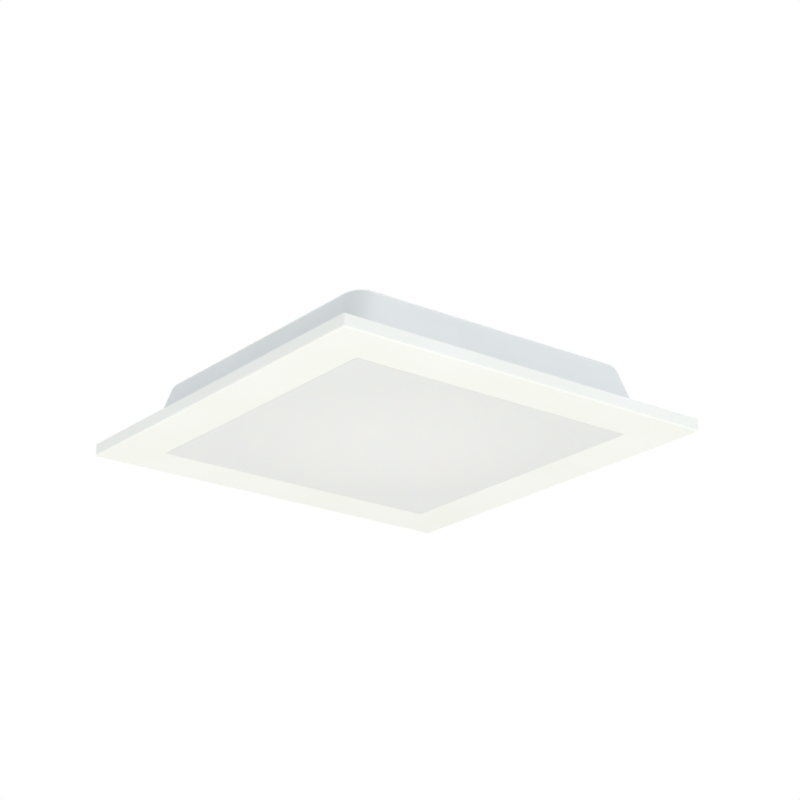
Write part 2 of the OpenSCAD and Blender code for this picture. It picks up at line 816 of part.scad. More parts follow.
module bridge_rectifier() {
    edge = bridge_size[0] / 2;
    color("#232527") at_each([bridge_at]) {
        block(bridge_size, z_parts + 0.4);
        for (x = [-1, 1], y = [-1.8, 1.8]) {
            translate([x * (edge + 0.5), y, 0]) block([1.4, 0.8, 0.6], z_parts);
            translate([x * edge, y, 0]) block([0.8, 0.8, 1.4], z_parts);
        }
    }
}

module fuse() {
    color("#b8452f") at_each([fuse_at]) {
        translate([0, 0, z_parts + fuse_r + 0.2]) along_y(fuse_r, -fuse_half, fuse_half);
        for (y = [-1, 1]) translate([0, y * (fuse_half - 0.8), 0]) block([1.2, 0.8, fuse_r + 0.2], z_parts);
    }
}

module heat_sink() {
    color("#b9bcbf") at_each([sink_at]) {
        block(sink_size, z_parts);
        for (i = [-2:2])
            translate([-sink_size[0] / 2 - 0.1, i * sink_size[1] / 4.7, 0])
                block([1, 1, sink_size[2] - 1], z_parts);
    }
}

module switching_transistor() {
    color("#26282b") at_each([transistor_at]) {
        block(transistor_size, z_parts + 0.6);
        for (i = [-1:1]) translate([0, 0.3 * i * transistor_size[1], 0]) block([0.6, 0.9, 0.8], z_parts);
    }
}

// Each lead drops from the driver board through the back and bends to the plug on the light board
function lead_path(y) =
    let (low = z_leds - connector_size[2] / 2)
    concat(
        [[lead_hole[0], y, z_pcb], [lead_hole[0], y, z_back]],
        [for (i = [0:5]) [
            lead_hole[0] - lead_bend_r * (1 - cos(18 * i)),
            y,
            low + lead_bend_r * (1 - sin(18 * i))
        ]],
        [[connector_x + 1.5, y, low]]
    );

module lead_positive() {
    color("#b23a34") wire(lead_path(lead_hole[1] + lead_y), lead_r, 8);
}

module lead_negative() {
    color("#26282b") wire(lead_path(lead_hole[1] - lead_y), lead_r, 8);
}

module driver_lid() {
    lid_end = partition_y - knuckle_r - end_play;
    color("#eceeed") difference() {
        intersection() {
            translate([0, 0, z_box_top]) linear_extrude(lid_t) box_outline(0);
            translate([-box_w, -box_l, z_back]) cube([2 * box_w, box_l + lid_end, 3 * box_h]);
        }
        at_each(lid_post_at) rod(lid_screw_r + 0.3, z_back, z_box_top + 2 * lid_t);
        // Vent slots over the transformer
        for (i = [-4:4]) translate([0, core_at[1] + i * vent_pitch, 0])
            block([vent_size[0], vent_size[1], box_h + lid_t], z_box_top - 1);
    }
}

module lid_screws() {
    color("#c9cbcc") at_each(lid_post_at)
        pan_screw(lid_screw_r, lid_head_r, lid_head_h, z_box_top - lid_screw_l, z_box_top + lid_t);
}

// Screw terminal block for the mains wires
module pole_places() {
    for (x = [-pole_pitch, 0, pole_pitch]) translate([x, block_y, 0]) children();
}

module terminal_block() {
    color("#f0f0ec") difference() {
        translate([0, block_y, 0]) block(block_size, z_parts);
        pole_places() {
            rod(pole_r + 0.1, z_parts + block_size[2] / 2, z_parts + block_size[2] + overlap);
            translate([0, block_size[1] / 2 - 2, 0]) block([entry_w, 6, entry_w], z_parts + fin_t);
        }
        for (x = [-1.5, -0.5, 0.5, 1.5]) translate([x * pole_pitch, block_y + block_size[1] / 2, 0])
            block([fin_t, 2, block_size[2]], z_parts + entry_w + 2 * fin_t);
    }
}

module terminal_screws() {
    color("#c9cbcc") pole_places() difference() {
        rod(pole_r, z_parts + block_size[2] / 2, z_parts + block_size[2] - 0.8);
        block([1.5 * pole_r, slot_w, 2], z_parts + block_size[2] - 1.6);
    }
}

module cable_clamp() {
    color("#dfe1de") translate([0, clamp_y, 0]) difference() {
        union() {
            block([2 * clamp_x, clamp_l, clamp_high - clamp_low], clamp_low);
            for (x = [-clamp_x, clamp_x]) translate([x, 0, 0]) rod(clamp_post_r, clamp_low, clamp_high);
        }
        translate([0, 0, cable_z]) along_y(cable_r, -clamp_l, clamp_l);
        for (x = [-clamp_x, clamp_x]) translate([x, 0, 0])
            rod(clamp_screw_r + 0.3, clamp_low - overlap, clamp_high + overlap);
    }
}

module clamp_screws() {
    color("#c9cbcc") for (x = [-clamp_x, clamp_x]) translate([x, clamp_y, 0])
        pan_screw(clamp_screw_r, clamp_head_r, clamp_head_h, clamp_low - clamp_screw_l, clamp_high);
}

// Grooved rubber ring in the end wall
module cable_grommet() {
    color("#2c2e30") translate([0, box_l / 2 - box_wall / 2, cable_z]) difference() {
        union() {
            along_y(grommet_groove_r, -box_wall, box_wall);
            both_ways() along_y(grommet_flange_r, box_wall / 2, box_wall / 2 + grommet_flange_t);
        }
        along_y(cable_r, -box_l / 4, box_l / 4);
    }
}

module terminal_cover() {
    low = z_box_top + cover_gap;
    color("#e6e8e7") difference() {
        union() {
            intersection() {
                translate([0, 0, low]) linear_extrude(lid_t) box_outline(0);
                translate([-box_w, cover_start, z_back]) cube([2 * box_w, box_l, 3 * box_h]);
            }
            // Hinge barrel and the web that joins it to the plate
            translate([0, partition_y, hinge_z]) along_x(knuckle_r, -barrel_x, barrel_x);
            translate([-barrel_x, partition_y, low])
                cube([2 * barrel_x, cover_start - partition_y + overlap, lid_t]);
            // Tongues that keep the closed cover in line with the end wall
            for (x = [-tongue_x, tongue_x]) translate([x, box_end - pcb_gap - tongue_size[1] / 2, 0])
                block([tongue_size[0], tongue_size[1], tongue_size[2] + overlap], low - tongue_size[2]);
            // Finger rib
            translate([0, box_l / 2 - 3 + finger_size[1] / 2, 0])
                block([finger_size[0], finger_size[1], lid_t + finger_size[2]], low);
        }
        translate([0, partition_y, hinge_z]) along_x(hinge_pin_r + 0.06, -knuckle_x, knuckle_x);
    }
}

module cover_hinge_pin() {
    reach = knuckle_x + knuckle_l;
    color("#b5b8ba") translate([0, partition_y, hinge_z]) along_x(hinge_pin_r, -reach, reach);
}

// Spring clips; each carriage slides between two rails, joined by a bar that stops it
module guide_rails(side) {
    lip_z = z_carriage_top + slide_gap;
    color("#e6e8e7") clip_side(side) {
        both_ways() {
            upright_along_x(rail_start, rail_end) polygon([
                [rail_in, z_back],
                [rail_in, lip_z],
                [rail_in - rail_lip, lip_z],
                [rail_in - rail_lip, lip_z + rail_lip_t],
                [rail_in + rail_wall, lip_z + rail_lip_t],
                [rail_in + rail_wall, z_back]
            ]);
            at_each(rail_peg_at) rod(rail_peg_r, z_back - rail_peg_h, z_back + overlap);
        }
        translate([rail_end - stop_t, -rail_in - overlap, z_back])
            cube([stop_t, 2 * (rail_in + overlap), stop_h]);
    }
}

module guide_rails_left() { guide_rails(-1); }
module guide_rails_right() { guide_rails(1); }

module carriage(side) {
    ear_top = 3;
    lug_l = 2;
    lug_x = carriage_l / 2 - 1.5;
    lug_top = pivot_z + strap_z(lug_x + lug_l / 2) - strap_half - slide_gap;
    color("#8d9196") clip_side(side) translate([pivot_x, 0, 0]) difference() {
        union() {
            block([carriage_l, carriage_w, carriage_t], z_carriage);
            // Ears that hold the pivot pin
            both_ways() translate([0, 0, pivot_z]) upright(ear_in, ear_in + ear_t) {
                circle(ear_top);
                polygon([
                    [-ear_top, 0], [ear_top, 0],
                    [5, z_carriage_top - pivot_z - overlap], [-5, z_carriage_top - pivot_z - overlap]
                ]);
            }
            // Stop that the arm rests on
            translate([lug_x, 0, 0]) block([lug_l, 2 * coil_half, lug_top - z_carriage], z_carriage);
            // Thumb ribs
            for (i = [0:1]) translate([-carriage_l / 2 + 0.6 + 1.2 * i, 0, 0])
                block([0.6, 11, carriage_t + 0.6], z_carriage);
        }
        translate([0, 0, pivot_z]) along_y(pin_r + 0.03, -carriage_w, carriage_w);
    }
}

module carriage_left() { carriage(-1); }
module carriage_right() { carriage(1); }

module pivot_pin(side) {
    reach = ear_in + ear_t + 0.2;
    color("#b5b8ba") at_pivot(side) {
        along_y(pin_r, -reach, reach);
        both_ways() along_y(pin_head_r, reach, reach + pin_head_t);
    }
}

module pivot_pin_left() { pivot_pin(-1); }
module pivot_pin_right() { pivot_pin(1); }

module torsion_spring(side) {
    color("#a7abaf") at_pivot(side) wire(spring_path, wire_d / 2, 6);
}

module torsion_spring_left() { torsion_spring(-1); }
module torsion_spring_right() { torsion_spring(1); }

// Pressed strap with two cheeks that turn on the pin
module clip_arm(side) {
    arm_line = concat(
        [arm_start], bend(arm_start, arm_bend, arm_end), bend(arm_bend, arm_end, arm_tip), [arm_tip]);
    color("#c3c6c9") at_pivot(side) difference() {
        union() {
            upright(-arm_w / 2, arm_w / 2) strip(arm_line, arm_t);
            both_ways() upright(arm_w / 2 - cheek_t, arm_w / 2) {
                circle(cheek_r);
                polygon(cheek_outline);
            }
        }
        along_y(pin_r + 0.05, -arm_w, arm_w);
        // Slot that lightens the strap
        translate([arm_bend[0] - 3.2, 0, -arm_drop - arm_t]) linear_extrude(3 * arm_drop) {
            square([5, 3], center = true);
            for (x = [-2.5, 2.5]) translate([x, 0]) circle(1.5);
        }
    }
}

module clip_arm_left() { clip_arm(-1); }
module clip_arm_right() { clip_arm(1); }

// Rubber foot under the strap, with grooves across it
module arm_pad(side) {
    pad_x = arm_l - bend_cut - pad_l / 2;
    color("#2c2e30") at_pivot(side) translate([pad_x, 0, -arm_drop - arm_t / 2 - pad_t]) difference() {
        block([pad_l, pad_w, pad_t], 0);
        for (x = [-2, 0, 2]) translate([x, 0, 0]) block([0.7, pad_w + 1, 0.5], 0);
    }
}

module arm_pad_left() { arm_pad(-1); }
module arm_pad_right() { arm_pad(1); }

front_frame();
diffuser();
diffuser_seal();
frame_seal();
reflector();
led_board();
led_chips();
led_lenses();
led_connector();
board_screws();
heat_spreader();
rear_housing();
frame_screws();
ceiling_gasket();
driver_box();
box_screws();
driver_board();
transformer_core();
transformer_winding();
bulk_capacitor();
output_capacitor();
film_capacitor();
input_choke();
bridge_rectifier();
fuse();
heat_sink();
switching_transistor();
lead_positive();
lead_negative();
driver_lid();
lid_screws();
terminal_block();
terminal_screws();
cable_clamp();
clamp_screws();
cable_grommet();
terminal_cover();
cover_hinge_pin();
guide_rails_left();
guide_rails_right();
carriage_left();
carriage_right();
pivot_pin_left();
pivot_pin_right();
torsion_spring_left();
torsion_spring_right();
clip_arm_left();
clip_arm_right();
arm_pad_left();
arm_pad_right();
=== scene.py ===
"""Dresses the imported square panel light: smooth moulded shells, real fasteners and springs, and a
material for every piece. Pieces are shaped in millimetres and scaled to metres when they are
finished; the camera, the floor and the lamps are placed in metres."""
from math import acos, atan, atan2, copysign, cos, hypot, pi, radians, sin, tan

import bmesh
import bpy
from mathutils import Matrix, Vector


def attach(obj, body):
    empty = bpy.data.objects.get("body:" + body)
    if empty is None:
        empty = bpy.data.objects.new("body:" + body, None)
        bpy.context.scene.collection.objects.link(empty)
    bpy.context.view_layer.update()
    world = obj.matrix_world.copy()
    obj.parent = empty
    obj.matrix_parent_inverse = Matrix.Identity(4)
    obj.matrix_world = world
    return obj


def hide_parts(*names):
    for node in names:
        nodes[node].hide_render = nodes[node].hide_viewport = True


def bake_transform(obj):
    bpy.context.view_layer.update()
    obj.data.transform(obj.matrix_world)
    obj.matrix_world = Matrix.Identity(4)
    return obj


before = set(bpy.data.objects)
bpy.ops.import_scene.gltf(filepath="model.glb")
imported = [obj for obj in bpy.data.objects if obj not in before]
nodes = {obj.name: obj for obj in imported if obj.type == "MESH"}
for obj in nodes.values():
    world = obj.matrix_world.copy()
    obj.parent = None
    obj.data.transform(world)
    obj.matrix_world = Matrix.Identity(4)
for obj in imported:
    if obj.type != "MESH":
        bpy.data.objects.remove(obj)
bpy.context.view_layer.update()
MM = 0.001


# The camera, where the photograph was taken from

LOOK_AT = Vector((-0.0318, -0.0480, -0.0347))
AZIMUTH, ELEVATION, ROLL = radians(-37.34), radians(-20.90), radians(0.236)
DISTANCE = 0.8956
LENS_MM, SENSOR_MM = 92.1, 36

back = Vector((sin(AZIMUTH) * cos(ELEVATION), -cos(AZIMUTH) * cos(ELEVATION), sin(ELEVATION)))
level_right = Vector((cos(AZIMUTH), sin(AZIMUTH), 0))
level_up = back.cross(level_right)
right = level_right * cos(ROLL) + level_up * sin(ROLL)
up = level_up * cos(ROLL) - level_right * sin(ROLL)
facing = Matrix((right, up, back)).transposed().to_4x4()

camera_data = bpy.data.cameras.new("camera")
camera_data.lens = LENS_MM
camera_data.sensor_width = SENSOR_MM
camera = bpy.data.objects.new("camera", camera_data)
camera.matrix_world = Matrix.Translation(LOOK_AT + back * DISTANCE) @ facing
bpy.context.collection.objects.link(camera)
bpy.context.scene.camera = camera


# Materials. Each is named for the real one and its surface, and reads Object coordinates, which
# are the part's own, because every piece stands in place with its object at the origin.

# Between these a noise texture spends most of its range, so colour ramps end there
NOISE_LOW, NOISE_HIGH = 0.35, 0.65


def linear(hexcode):
    """An sRGB hex colour as linear red, green, blue and alpha."""
    parts = [int(hexcode[i:i + 2], 16) / 255 for i in (1, 3, 5)]
    return (*[c / 12.92 if c <= 0.04045 else ((c + 0.055) / 1.055) ** 2.4 for c in parts], 1)


def add(tree, kind, inputs=None, stops=(), **settings):
    """Adds a node with its settings. inputs gives each socket a value, or the socket that feeds
    it, and stops are the two places and hex colours of a colour ramp."""
    made = tree.nodes.new(kind)
    for name, value in settings.items():
        setattr(made, name, value)
    for element, (place, hexcode) in zip(made.color_ramp.elements if stops else (), stops):
        element.position = place
        element.color = linear(hexcode)
    for name, value in (inputs or {}).items():
        socket = made.inputs[name]
        if isinstance(value, bpy.types.NodeSocket):
            tree.links.new(value, socket)
        else:
            socket.default_value = value
    return made


def blank(name):
    """A new material that has no nodes yet, its tree, and the coordinates of its piece."""
    made = bpy.data.materials.new(name)
    made.use_nodes = True
    made.node_tree.nodes.clear()
    return made, made.node_tree, add(made.node_tree, "ShaderNodeTexCoord").outputs["Object"]


def per_mm(size):
    """The scale at which a noise pattern's marks are this many millimetres across."""
    return 1 / (size * MM)


def banding(pitch):
    """The Wave texture's scale at which its bands lie this many millimetres apart."""
    return per_mm(pitch) * pi / 10


def moulded(name, low, high, roughness, grain_mm, depth_mm, ior=1.53):
    """Injection-moulded plastic: slow drifts of tone where the melt flowed, and the grain that
    spark erosion left in the mould."""
    flow_mm, gloss_drift = 45, 0.05
    made, tree, where = blank(name)
    flow = add(tree, "ShaderNodeTexNoise", {
        "Vector": where, "Scale": per_mm(flow_mm), "Detail": 2.0})
    grain = add(tree, "ShaderNodeTexNoise", {
        "Vector": where, "Scale": per_mm(grain_mm), "Detail": 3.0})
    tone = add(tree, "ShaderNodeValToRGB", {"Fac": flow.outputs["Fac"]},
               stops=((NOISE_LOW, low), (NOISE_HIGH, high)))
    gloss = add(tree, "ShaderNodeMapRange", {
        "Value": grain.outputs["Fac"],
        "To Min": roughness - gloss_drift, "To Max": roughness + gloss_drift})
    relief = add(tree, "ShaderNodeBump", {
        "Height": grain.outputs["Fac"], "Distance": depth_mm * MM})
    skin = add(tree, "ShaderNodeBsdfPrincipled", {
        "Base Color": tone.outputs["Color"], "Roughness": gloss.outputs["Result"],
        "Normal": relief.outputs["Normal"], "IOR": ior})
    add(tree, "ShaderNodeOutputMaterial", {"Surface": skin.outputs["BSDF"]})
    return made


def rubber(name, low, high, roughness, grain_mm, depth_mm):
    """Moulded rubber or soft plastic: dull, with a bloom that lightens it in patches."""
    bloom_mm = 6
    made, tree, where = blank(name)
    bloom = add(tree, "ShaderNodeTexNoise", {
        "Vector": where, "Scale": per_mm(bloom_mm), "Detail": 4.0})
    grain = add(tree, "ShaderNodeTexNoise", {
        "Vector": where, "Scale": per_mm(grain_mm), "Detail": 2.0})
    tone = add(tree, "ShaderNodeValToRGB", {"Fac": bloom.outputs["Fac"]},
               stops=((NOISE_LOW, low), (NOISE_HIGH, high)))
    relief = add(tree, "ShaderNodeBump", {
        "Height": grain.outputs["Fac"], "Distance": depth_mm * MM})
    skin = add(tree, "ShaderNodeBsdfPrincipled", {
        "Base Color": tone.outputs["Color"], "Roughness": roughness,
        "Normal": relief.outputs["Normal"], "IOR": 1.52})
    add(tree, "ShaderNodeOutputMaterial", {"Surface": skin.outputs["BSDF"]})
    return made


def plated(name, low, high, roughness, streak_mm, along):
    """Plate on rolled metal: patches of tone from the bath, over faint lines left by the rolls,
    which run along the axis that has the small number."""
    patch_mm, gloss_drift, line_depth_mm = 3, 0.1, 0.004
    made, tree, where = blank(name)
    stretch = add(tree, "ShaderNodeMapping", {"Vector": where, "Scale": along})
    lines = add(tree, "ShaderNodeTexNoise", {
        "Vector": stretch.outputs["Vector"], "Scale": per_mm(streak_mm), "Detail": 3.0})
    patches = add(tree, "ShaderNodeTexNoise", {
        "Vector": where, "Scale": per_mm(patch_mm), "Detail": 3.0})
    tone = add(tree, "ShaderNodeValToRGB", {"Fac": patches.outputs["Fac"]},
               stops=((NOISE_LOW, low), (NOISE_HIGH, high)))
    gloss = add(tree, "ShaderNodeMapRange", {
        "Value": lines.outputs["Fac"],
        "To Min": roughness - gloss_drift, "To Max": roughness + gloss_drift})
    relief = add(tree, "ShaderNodeBump", {
        "Height": lines.outputs["Fac"], "Distance": line_depth_mm * MM})
    skin = add(tree, "ShaderNodeBsdfPrincipled", {
        "Base Color": tone.outputs["Color"], "Metallic": 1.0,
        "Roughness": gloss.outputs["Result"], "Normal": relief.outputs["Normal"]})
    add(tree, "ShaderNodeOutputMaterial", {"Surface": skin.outputs["BSDF"]})
    return made


def foam(name, low, high, pore_mm):
    """Closed-cell foam: packed round pores on the cut face, each painted darker towards its middle
    as painted shade in the hollow cell.
    """
    pore_depth_mm = 0.12
    made, tree, where = blank(name)
    pores = add(tree, "ShaderNodeTexVoronoi", {"Vector": where, "Scale": per_mm(pore_mm)})
    # Painted shade: each pore is darker towards its middle, where its hollow would be shaded
    tone = add(tree, "ShaderNodeValToRGB", {"Fac": pores.outputs["Distance"]},
               stops=((0.1, low), (0.6, high)))
    relief = add(tree, "ShaderNodeBump", {
        "Height": pores.outputs["Distance"], "Distance": pore_depth_mm * MM})
    skin = add(tree, "ShaderNodeBsdfPrincipled", {
        "Base Color": tone.outputs["Color"], "Roughness": 0.85,
        "Normal": relief.outputs["Normal"], "IOR": 1.45})
    add(tree, "ShaderNodeOutputMaterial", {"Surface": skin.outputs["BSDF"]})
    return made


def wound(name, low, high, pitch_mm, metallic):
    """Something wound on a former: fine parallel turns up the piece, with painted shade in the
    grooves between turns and a painted highlight on each turn.
    """
    turn_depth_mm = 0.1
    made, tree, where = blank(name)
    turns = add(tree, "ShaderNodeTexWave", {
        "Vector": where, "Scale": banding(pitch_mm), "Distortion": 0.4}, bands_direction="Z")
    # Painted shade and highlight: the tone runs dark between the turns and pale on each turn
    tone = add(tree, "ShaderNodeValToRGB", {"Fac": turns.outputs["Fac"]},
               stops=((0.2, low), (0.8, high)))
    relief = add(tree, "ShaderNodeBump", {
        "Height": turns.outputs["Fac"], "Distance": turn_depth_mm * MM})
    skin = add(tree, "ShaderNodeBsdfPrincipled", {
        "Base Color": tone.outputs["Color"], "Metallic": metallic, "Roughness": 0.3,
        "Normal": relief.outputs["Normal"]})
    add(tree, "ShaderNodeOutputMaterial", {"Surface": skin.outputs["BSDF"]})
    return made


def opal_acrylic():
    """Opal PMMA: a milky body under a satin skin, with painted light: paler towards the middle,
    where light comes through from the reflector behind, and painted shade towards the rim.
    """
    painted_glow_reach_mm, haze_mm, haze_depth_mm, scatter_mm = 76, 0.8, 0.003, 2
    made, tree, where = blank("opal_acrylic")
    centred = add(tree, "ShaderNodeMapping", {
        "Vector": where, "Scale": (per_mm(painted_glow_reach_mm), per_mm(painted_glow_reach_mm), 0)})
    # Painted light and shade: this gradient makes the window paler in the middle and greyer towards
    # the rim
    dome = add(tree, "ShaderNodeTexGradient", {
        "Vector": centred.outputs["Vector"]}, gradient_type="SPHERICAL")
    tone = add(tree, "ShaderNodeValToRGB", {"Fac": dome.outputs["Fac"]},
               stops=((0, "#e7e7e7"), (0.75, "#edecec")))
    haze = add(tree, "ShaderNodeTexNoise", {
        "Vector": where, "Scale": per_mm(haze_mm), "Detail": 2.0})
    relief = add(tree, "ShaderNodeBump", {
        "Height": haze.outputs["Fac"], "Distance": haze_depth_mm * MM})
    skin = add(tree, "ShaderNodeBsdfPrincipled", {
        "Base Color": tone.outputs["Color"], "Roughness": 0.36,
        "Normal": relief.outputs["Normal"], "IOR": 1.49,
        "Subsurface Weight": 0.15, "Subsurface Scale": scatter_mm * MM})
    add(tree, "ShaderNodeOutputMaterial", {"Surface": skin.outputs["BSDF"]})
    return made


def filled_nylon():
    """Glass-filled nylon: dark grey, with short paler fibres that come to the surface."""
    fibre_mm, fibre_depth_mm, fibre_stretch = 0.35, 0.01, (0.25, 1, 1)
    made, tree, where = blank("glass_filled_nylon")
    drawn = add(tree, "ShaderNodeMapping", {"Vector": where, "Scale": fibre_stretch})
    fibres = add(tree, "ShaderNodeTexNoise", {
        "Vector": drawn.outputs["Vector"], "Scale": per_mm(fibre_mm), "Detail": 2.0})
    tone = add(tree, "ShaderNodeValToRGB", {"Fac": fibres.outputs["Fac"]},
               stops=((0.45, "#6c7175"), (0.75, "#7e8387")))
    relief = add(tree, "ShaderNodeBump", {
        "Height": fibres.outputs["Fac"], "Distance": fibre_depth_mm * MM})
    skin = add(tree, "ShaderNodeBsdfPrincipled", {
        "Base Color": tone.outputs["Color"], "Roughness": 0.5,
        "Normal": relief.outputs["Normal"], "IOR": 1.53})
    add(tree, "ShaderNodeOutputMaterial", {"Surface": skin.outputs["BSDF"]})
    return made


def spring_wire():
    """Drawn spring steel: bright and slightly blue, with fine scuffs from the die."""
    scuff_mm = 0.5
    made, tree, where = blank("drawn_spring_steel")
    scuffs = add(tree, "ShaderNodeTexNoise", {
        "Vector": where, "Scale": per_mm(scuff_mm), "Detail": 4.0})
    tone = add(tree, "ShaderNodeValToRGB", {"Fac": scuffs.outputs["Fac"]},
               stops=((NOISE_LOW, "#a2a6ab"), (NOISE_HIGH, "#b6babf")))
    gloss = add(tree, "ShaderNodeMapRange", {
        "Value": scuffs.outputs["Fac"], "To Min": 0.2, "To Max": 0.3})
    skin = add(tree, "ShaderNodeBsdfPrincipled", {
        "Base Color": tone.outputs["Color"], "Metallic": 1.0,
        "Roughness": gloss.outputs["Result"]})
    add(tree, "ShaderNodeOutputMaterial", {"Surface": skin.outputs["BSDF"]})
    return made


def printed_board():
    """Solder mask over copper: green, and paler where the tracks under it raise the mask. The
    tracks run one way or the other from block to block, and are drawn twice as wide as real
    ones, so that they show."""
    block_mm, track_pitch_mm, copper_mm = 7, 1.3, 0.035
    made, tree, where = blank("green_solder_mask")
    blocks = add(tree, "ShaderNodeTexVoronoi", {
        "Vector": where, "Scale": per_mm(block_mm)}, distance="CHEBYCHEV")
    block = add(tree, "ShaderNodeSeparateColor", {"Color": blocks.outputs["Color"]})
    turned = add(tree, "ShaderNodeMath", {
        0: block.outputs["Red"], 1: 0.5}, operation="GREATER_THAN")
    tracks = [
        add(tree, "ShaderNodeTexWave", {
            "Vector": where, "Scale": banding(track_pitch_mm)}, bands_direction=way)
        for way in ("X", "Y")]
    chosen = add(tree, "ShaderNodeMix", {
        "Factor": turned.outputs[0], "A": tracks[0].outputs["Fac"],
        "B": tracks[1].outputs["Fac"]})
    edge = add(tree, "ShaderNodeMapRange", {
        "Value": chosen.outputs["Result"], "From Min": 0.45, "From Max": 0.6})
    tone = add(tree, "ShaderNodeValToRGB", {"Fac": edge.outputs["Result"]},
               stops=((0, "#1d5535"), (1, "#2d7148")))
    relief = add(tree, "ShaderNodeBump", {
        "Height": edge.outputs["Result"], "Distance": copper_mm * MM})
    skin = add(tree, "ShaderNodeBsdfPrincipled", {
        "Base Color": tone.outputs["Color"], "Roughness": 0.32,
        "Normal": relief.outputs["Normal"], "IOR": 1.55})
    add(tree, "ShaderNodeOutputMaterial", {"Surface": skin.outputs["BSDF"]})
    return made


def clear_acrylic():
    """Clear moulded acrylic: glossy, with the faint ripple of a small tool."""
    ripple_mm = 2
    made, tree, where = blank("clear_acrylic")
    ripple = add(tree, "ShaderNodeTexNoise", {
        "Vector": where, "Scale": per_mm(ripple_mm), "Detail": 1.0})
    gloss = add(tree, "ShaderNodeMapRange", {
        "Value": ripple.outputs["Fac"], "To Min": 0.04, "To Max": 0.12})
    skin = add(tree, "ShaderNodeBsdfPrincipled", {
        "Base Color": linear("#f4f8fa"), "Roughness": gloss.outputs["Result"], "IOR": 1.49,
        "Transmission Weight": 0.9})
    add(tree, "ShaderNodeOutputMaterial", {"Surface": skin.outputs["BSDF"]})
    return made


# Each of the next is given its darkest tone and its palest one.

# ABS in warm white, moulded in a satin tool: even, with a soft sheen on the rounded edge
RIM_WHITE = moulded(
    "satin_white_abs", "#f5f5f0", "#f7f7f3", roughness=0.42, grain_mm=0.9, depth_mm=0.004)
# Polycarbonate in a cooler white: the same satin, a shade greyer than the rim
HOUSING_WHITE = moulded(
    "satin_white_polycarbonate", "#e5e7e7", "#e9eaea", roughness=0.5, grain_mm=0.9,
    depth_mm=0.004, ior=1.5)
# ABS with a coarser spark grain, which hides handling marks on the driver box
BOX_WHITE = moulded(
    "textured_white_abs", "#e6e8e6", "#ecedeb", roughness=0.55, grain_mm=0.5, depth_mm=0.03)
# Nylon as moulded: milky and slightly yellow, glossier than ABS
NYLON = moulded(
    "natural_nylon", "#ece9dd", "#f2efe5", roughness=0.38, grain_mm=0.6, depth_mm=0.006)
# Rubber of the grommet and the pads, dusted with bloom
RUBBER = rubber(
    "black_moulded_rubber", "#1b1c1d", "#2b2c2d", roughness=0.75, grain_mm=0.35, depth_mm=0.02)
# Silicone of the seal: white and slightly tacky to look at
SILICONE = rubber(
    "cured_silicone", "#e4e4df", "#ecece8", roughness=0.5, grain_mm=0.8, depth_mm=0.01)
# Zinc plate on the pressed arms, rolled along the strap
ARM_ZINC = plated(
    "zinc_plated_strip", "#c0c3c7", "#cfd2d5", roughness=0.36, streak_mm=0.35, along=(0.08, 1, 1))
# Zinc plate on the small screws, drawn along the shank
SCREW_ZINC = plated(
    "zinc_plated_screw", "#b4b8bd", "#cdd0d3", roughness=0.3, streak_mm=0.3, along=(1, 1, 0.3))
# Aluminium sheet straight from the mill: pale, with long rolling lines
SHEET = plated(
    "mill_aluminium", "#c6c9cc", "#dadcde", roughness=0.38, streak_mm=0.5, along=(0.05, 1, 1))
# Foams of the ceiling ring and of the seal behind the rim: matt, with open pores where cut
BLACK_FOAM = foam("black_cell_foam", "#151617", "#3a3c3d", pore_mm=0.8)
GREY_FOAM = foam("grey_cell_foam", "#b4b6b2", "#dadbd7", pore_mm=0.7)
# PET film of the reflector and the white mask of the light board: bright, almost without grain
REFLECTOR_FILM = moulded(
    "white_pet_film", "#f3f3f0", "#f8f8f6", roughness=0.5, grain_mm=0.8, depth_mm=0.004, ior=1.57)
BOARD_WHITE = moulded(
    "white_solder_mask", "#eef0ec", "#f3f4f1", roughness=0.35, grain_mm=1.2,
    depth_mm=0.006, ior=1.55)
# Resin over each light source, filled with phosphor: a glossy yolk yellow
PHOSPHOR = moulded(
    "phosphor_resin", "#dcc35a", "#ecd774", roughness=0.25, grain_mm=0.4, depth_mm=0.01, ior=1.5)
# Windings: amber tape over the transformer, and enamelled wire on the choke
TAPE = wound("polyester_tape", "#cf9734", "#e0ab49", pitch_mm=5, metallic=0.0)
COPPER = wound("enamelled_copper", "#7d4623", "#a8632f", pitch_mm=0.7, metallic=0.8)
# Ground ferrite and moulded epoxy: near black, the first greyer and rougher
FERRITE = moulded(
    "ground_ferrite", "#3b3e41", "#4a4d50", roughness=0.6, grain_mm=0.4, depth_mm=0.02, ior=1.6)
EPOXY = moulded(
    "moulded_epoxy", "#1d1f21", "#292c2e", roughness=0.5, grain_mm=0.3, depth_mm=0.015, ior=1.55)
# Heat-shrink sleeves: glossy and slightly wavy where they shrank
DARK_SLEEVE = moulded(
    "dark_shrink_sleeve", "#2b2f36", "#363b43", roughness=0.25, grain_mm=3, depth_mm=0.02)
BLUE_SLEEVE = moulded(
    "blue_shrink_sleeve", "#254a70", "#31597f", roughness=0.25, grain_mm=3, depth_mm=0.02)
RED_SLEEVE = moulded(
    "red_shrink_sleeve", "#9c3626", "#b5452f", roughness=0.25, grain_mm=3, depth_mm=0.02)
# PBT case of the film capacitor: a shiny mustard yellow
FILM_CASE = moulded(
    "yellow_pbt_case", "#bfae40", "#cfbe54", roughness=0.3, grain_mm=0.6, depth_mm=0.01, ior=1.55)
# Extruded PVC of the two leads: smooth, with a soft shine
RED_LEAD = rubber(
    "red_pvc_insulation", "#a83230", "#bb403a", roughness=0.4, grain_mm=0.5, depth_mm=0.004)
BLACK_LEAD = rubber(
    "black_pvc_insulation", "#1c1d1f", "#27292b", roughness=0.4, grain_mm=0.5, depth_mm=0.004)
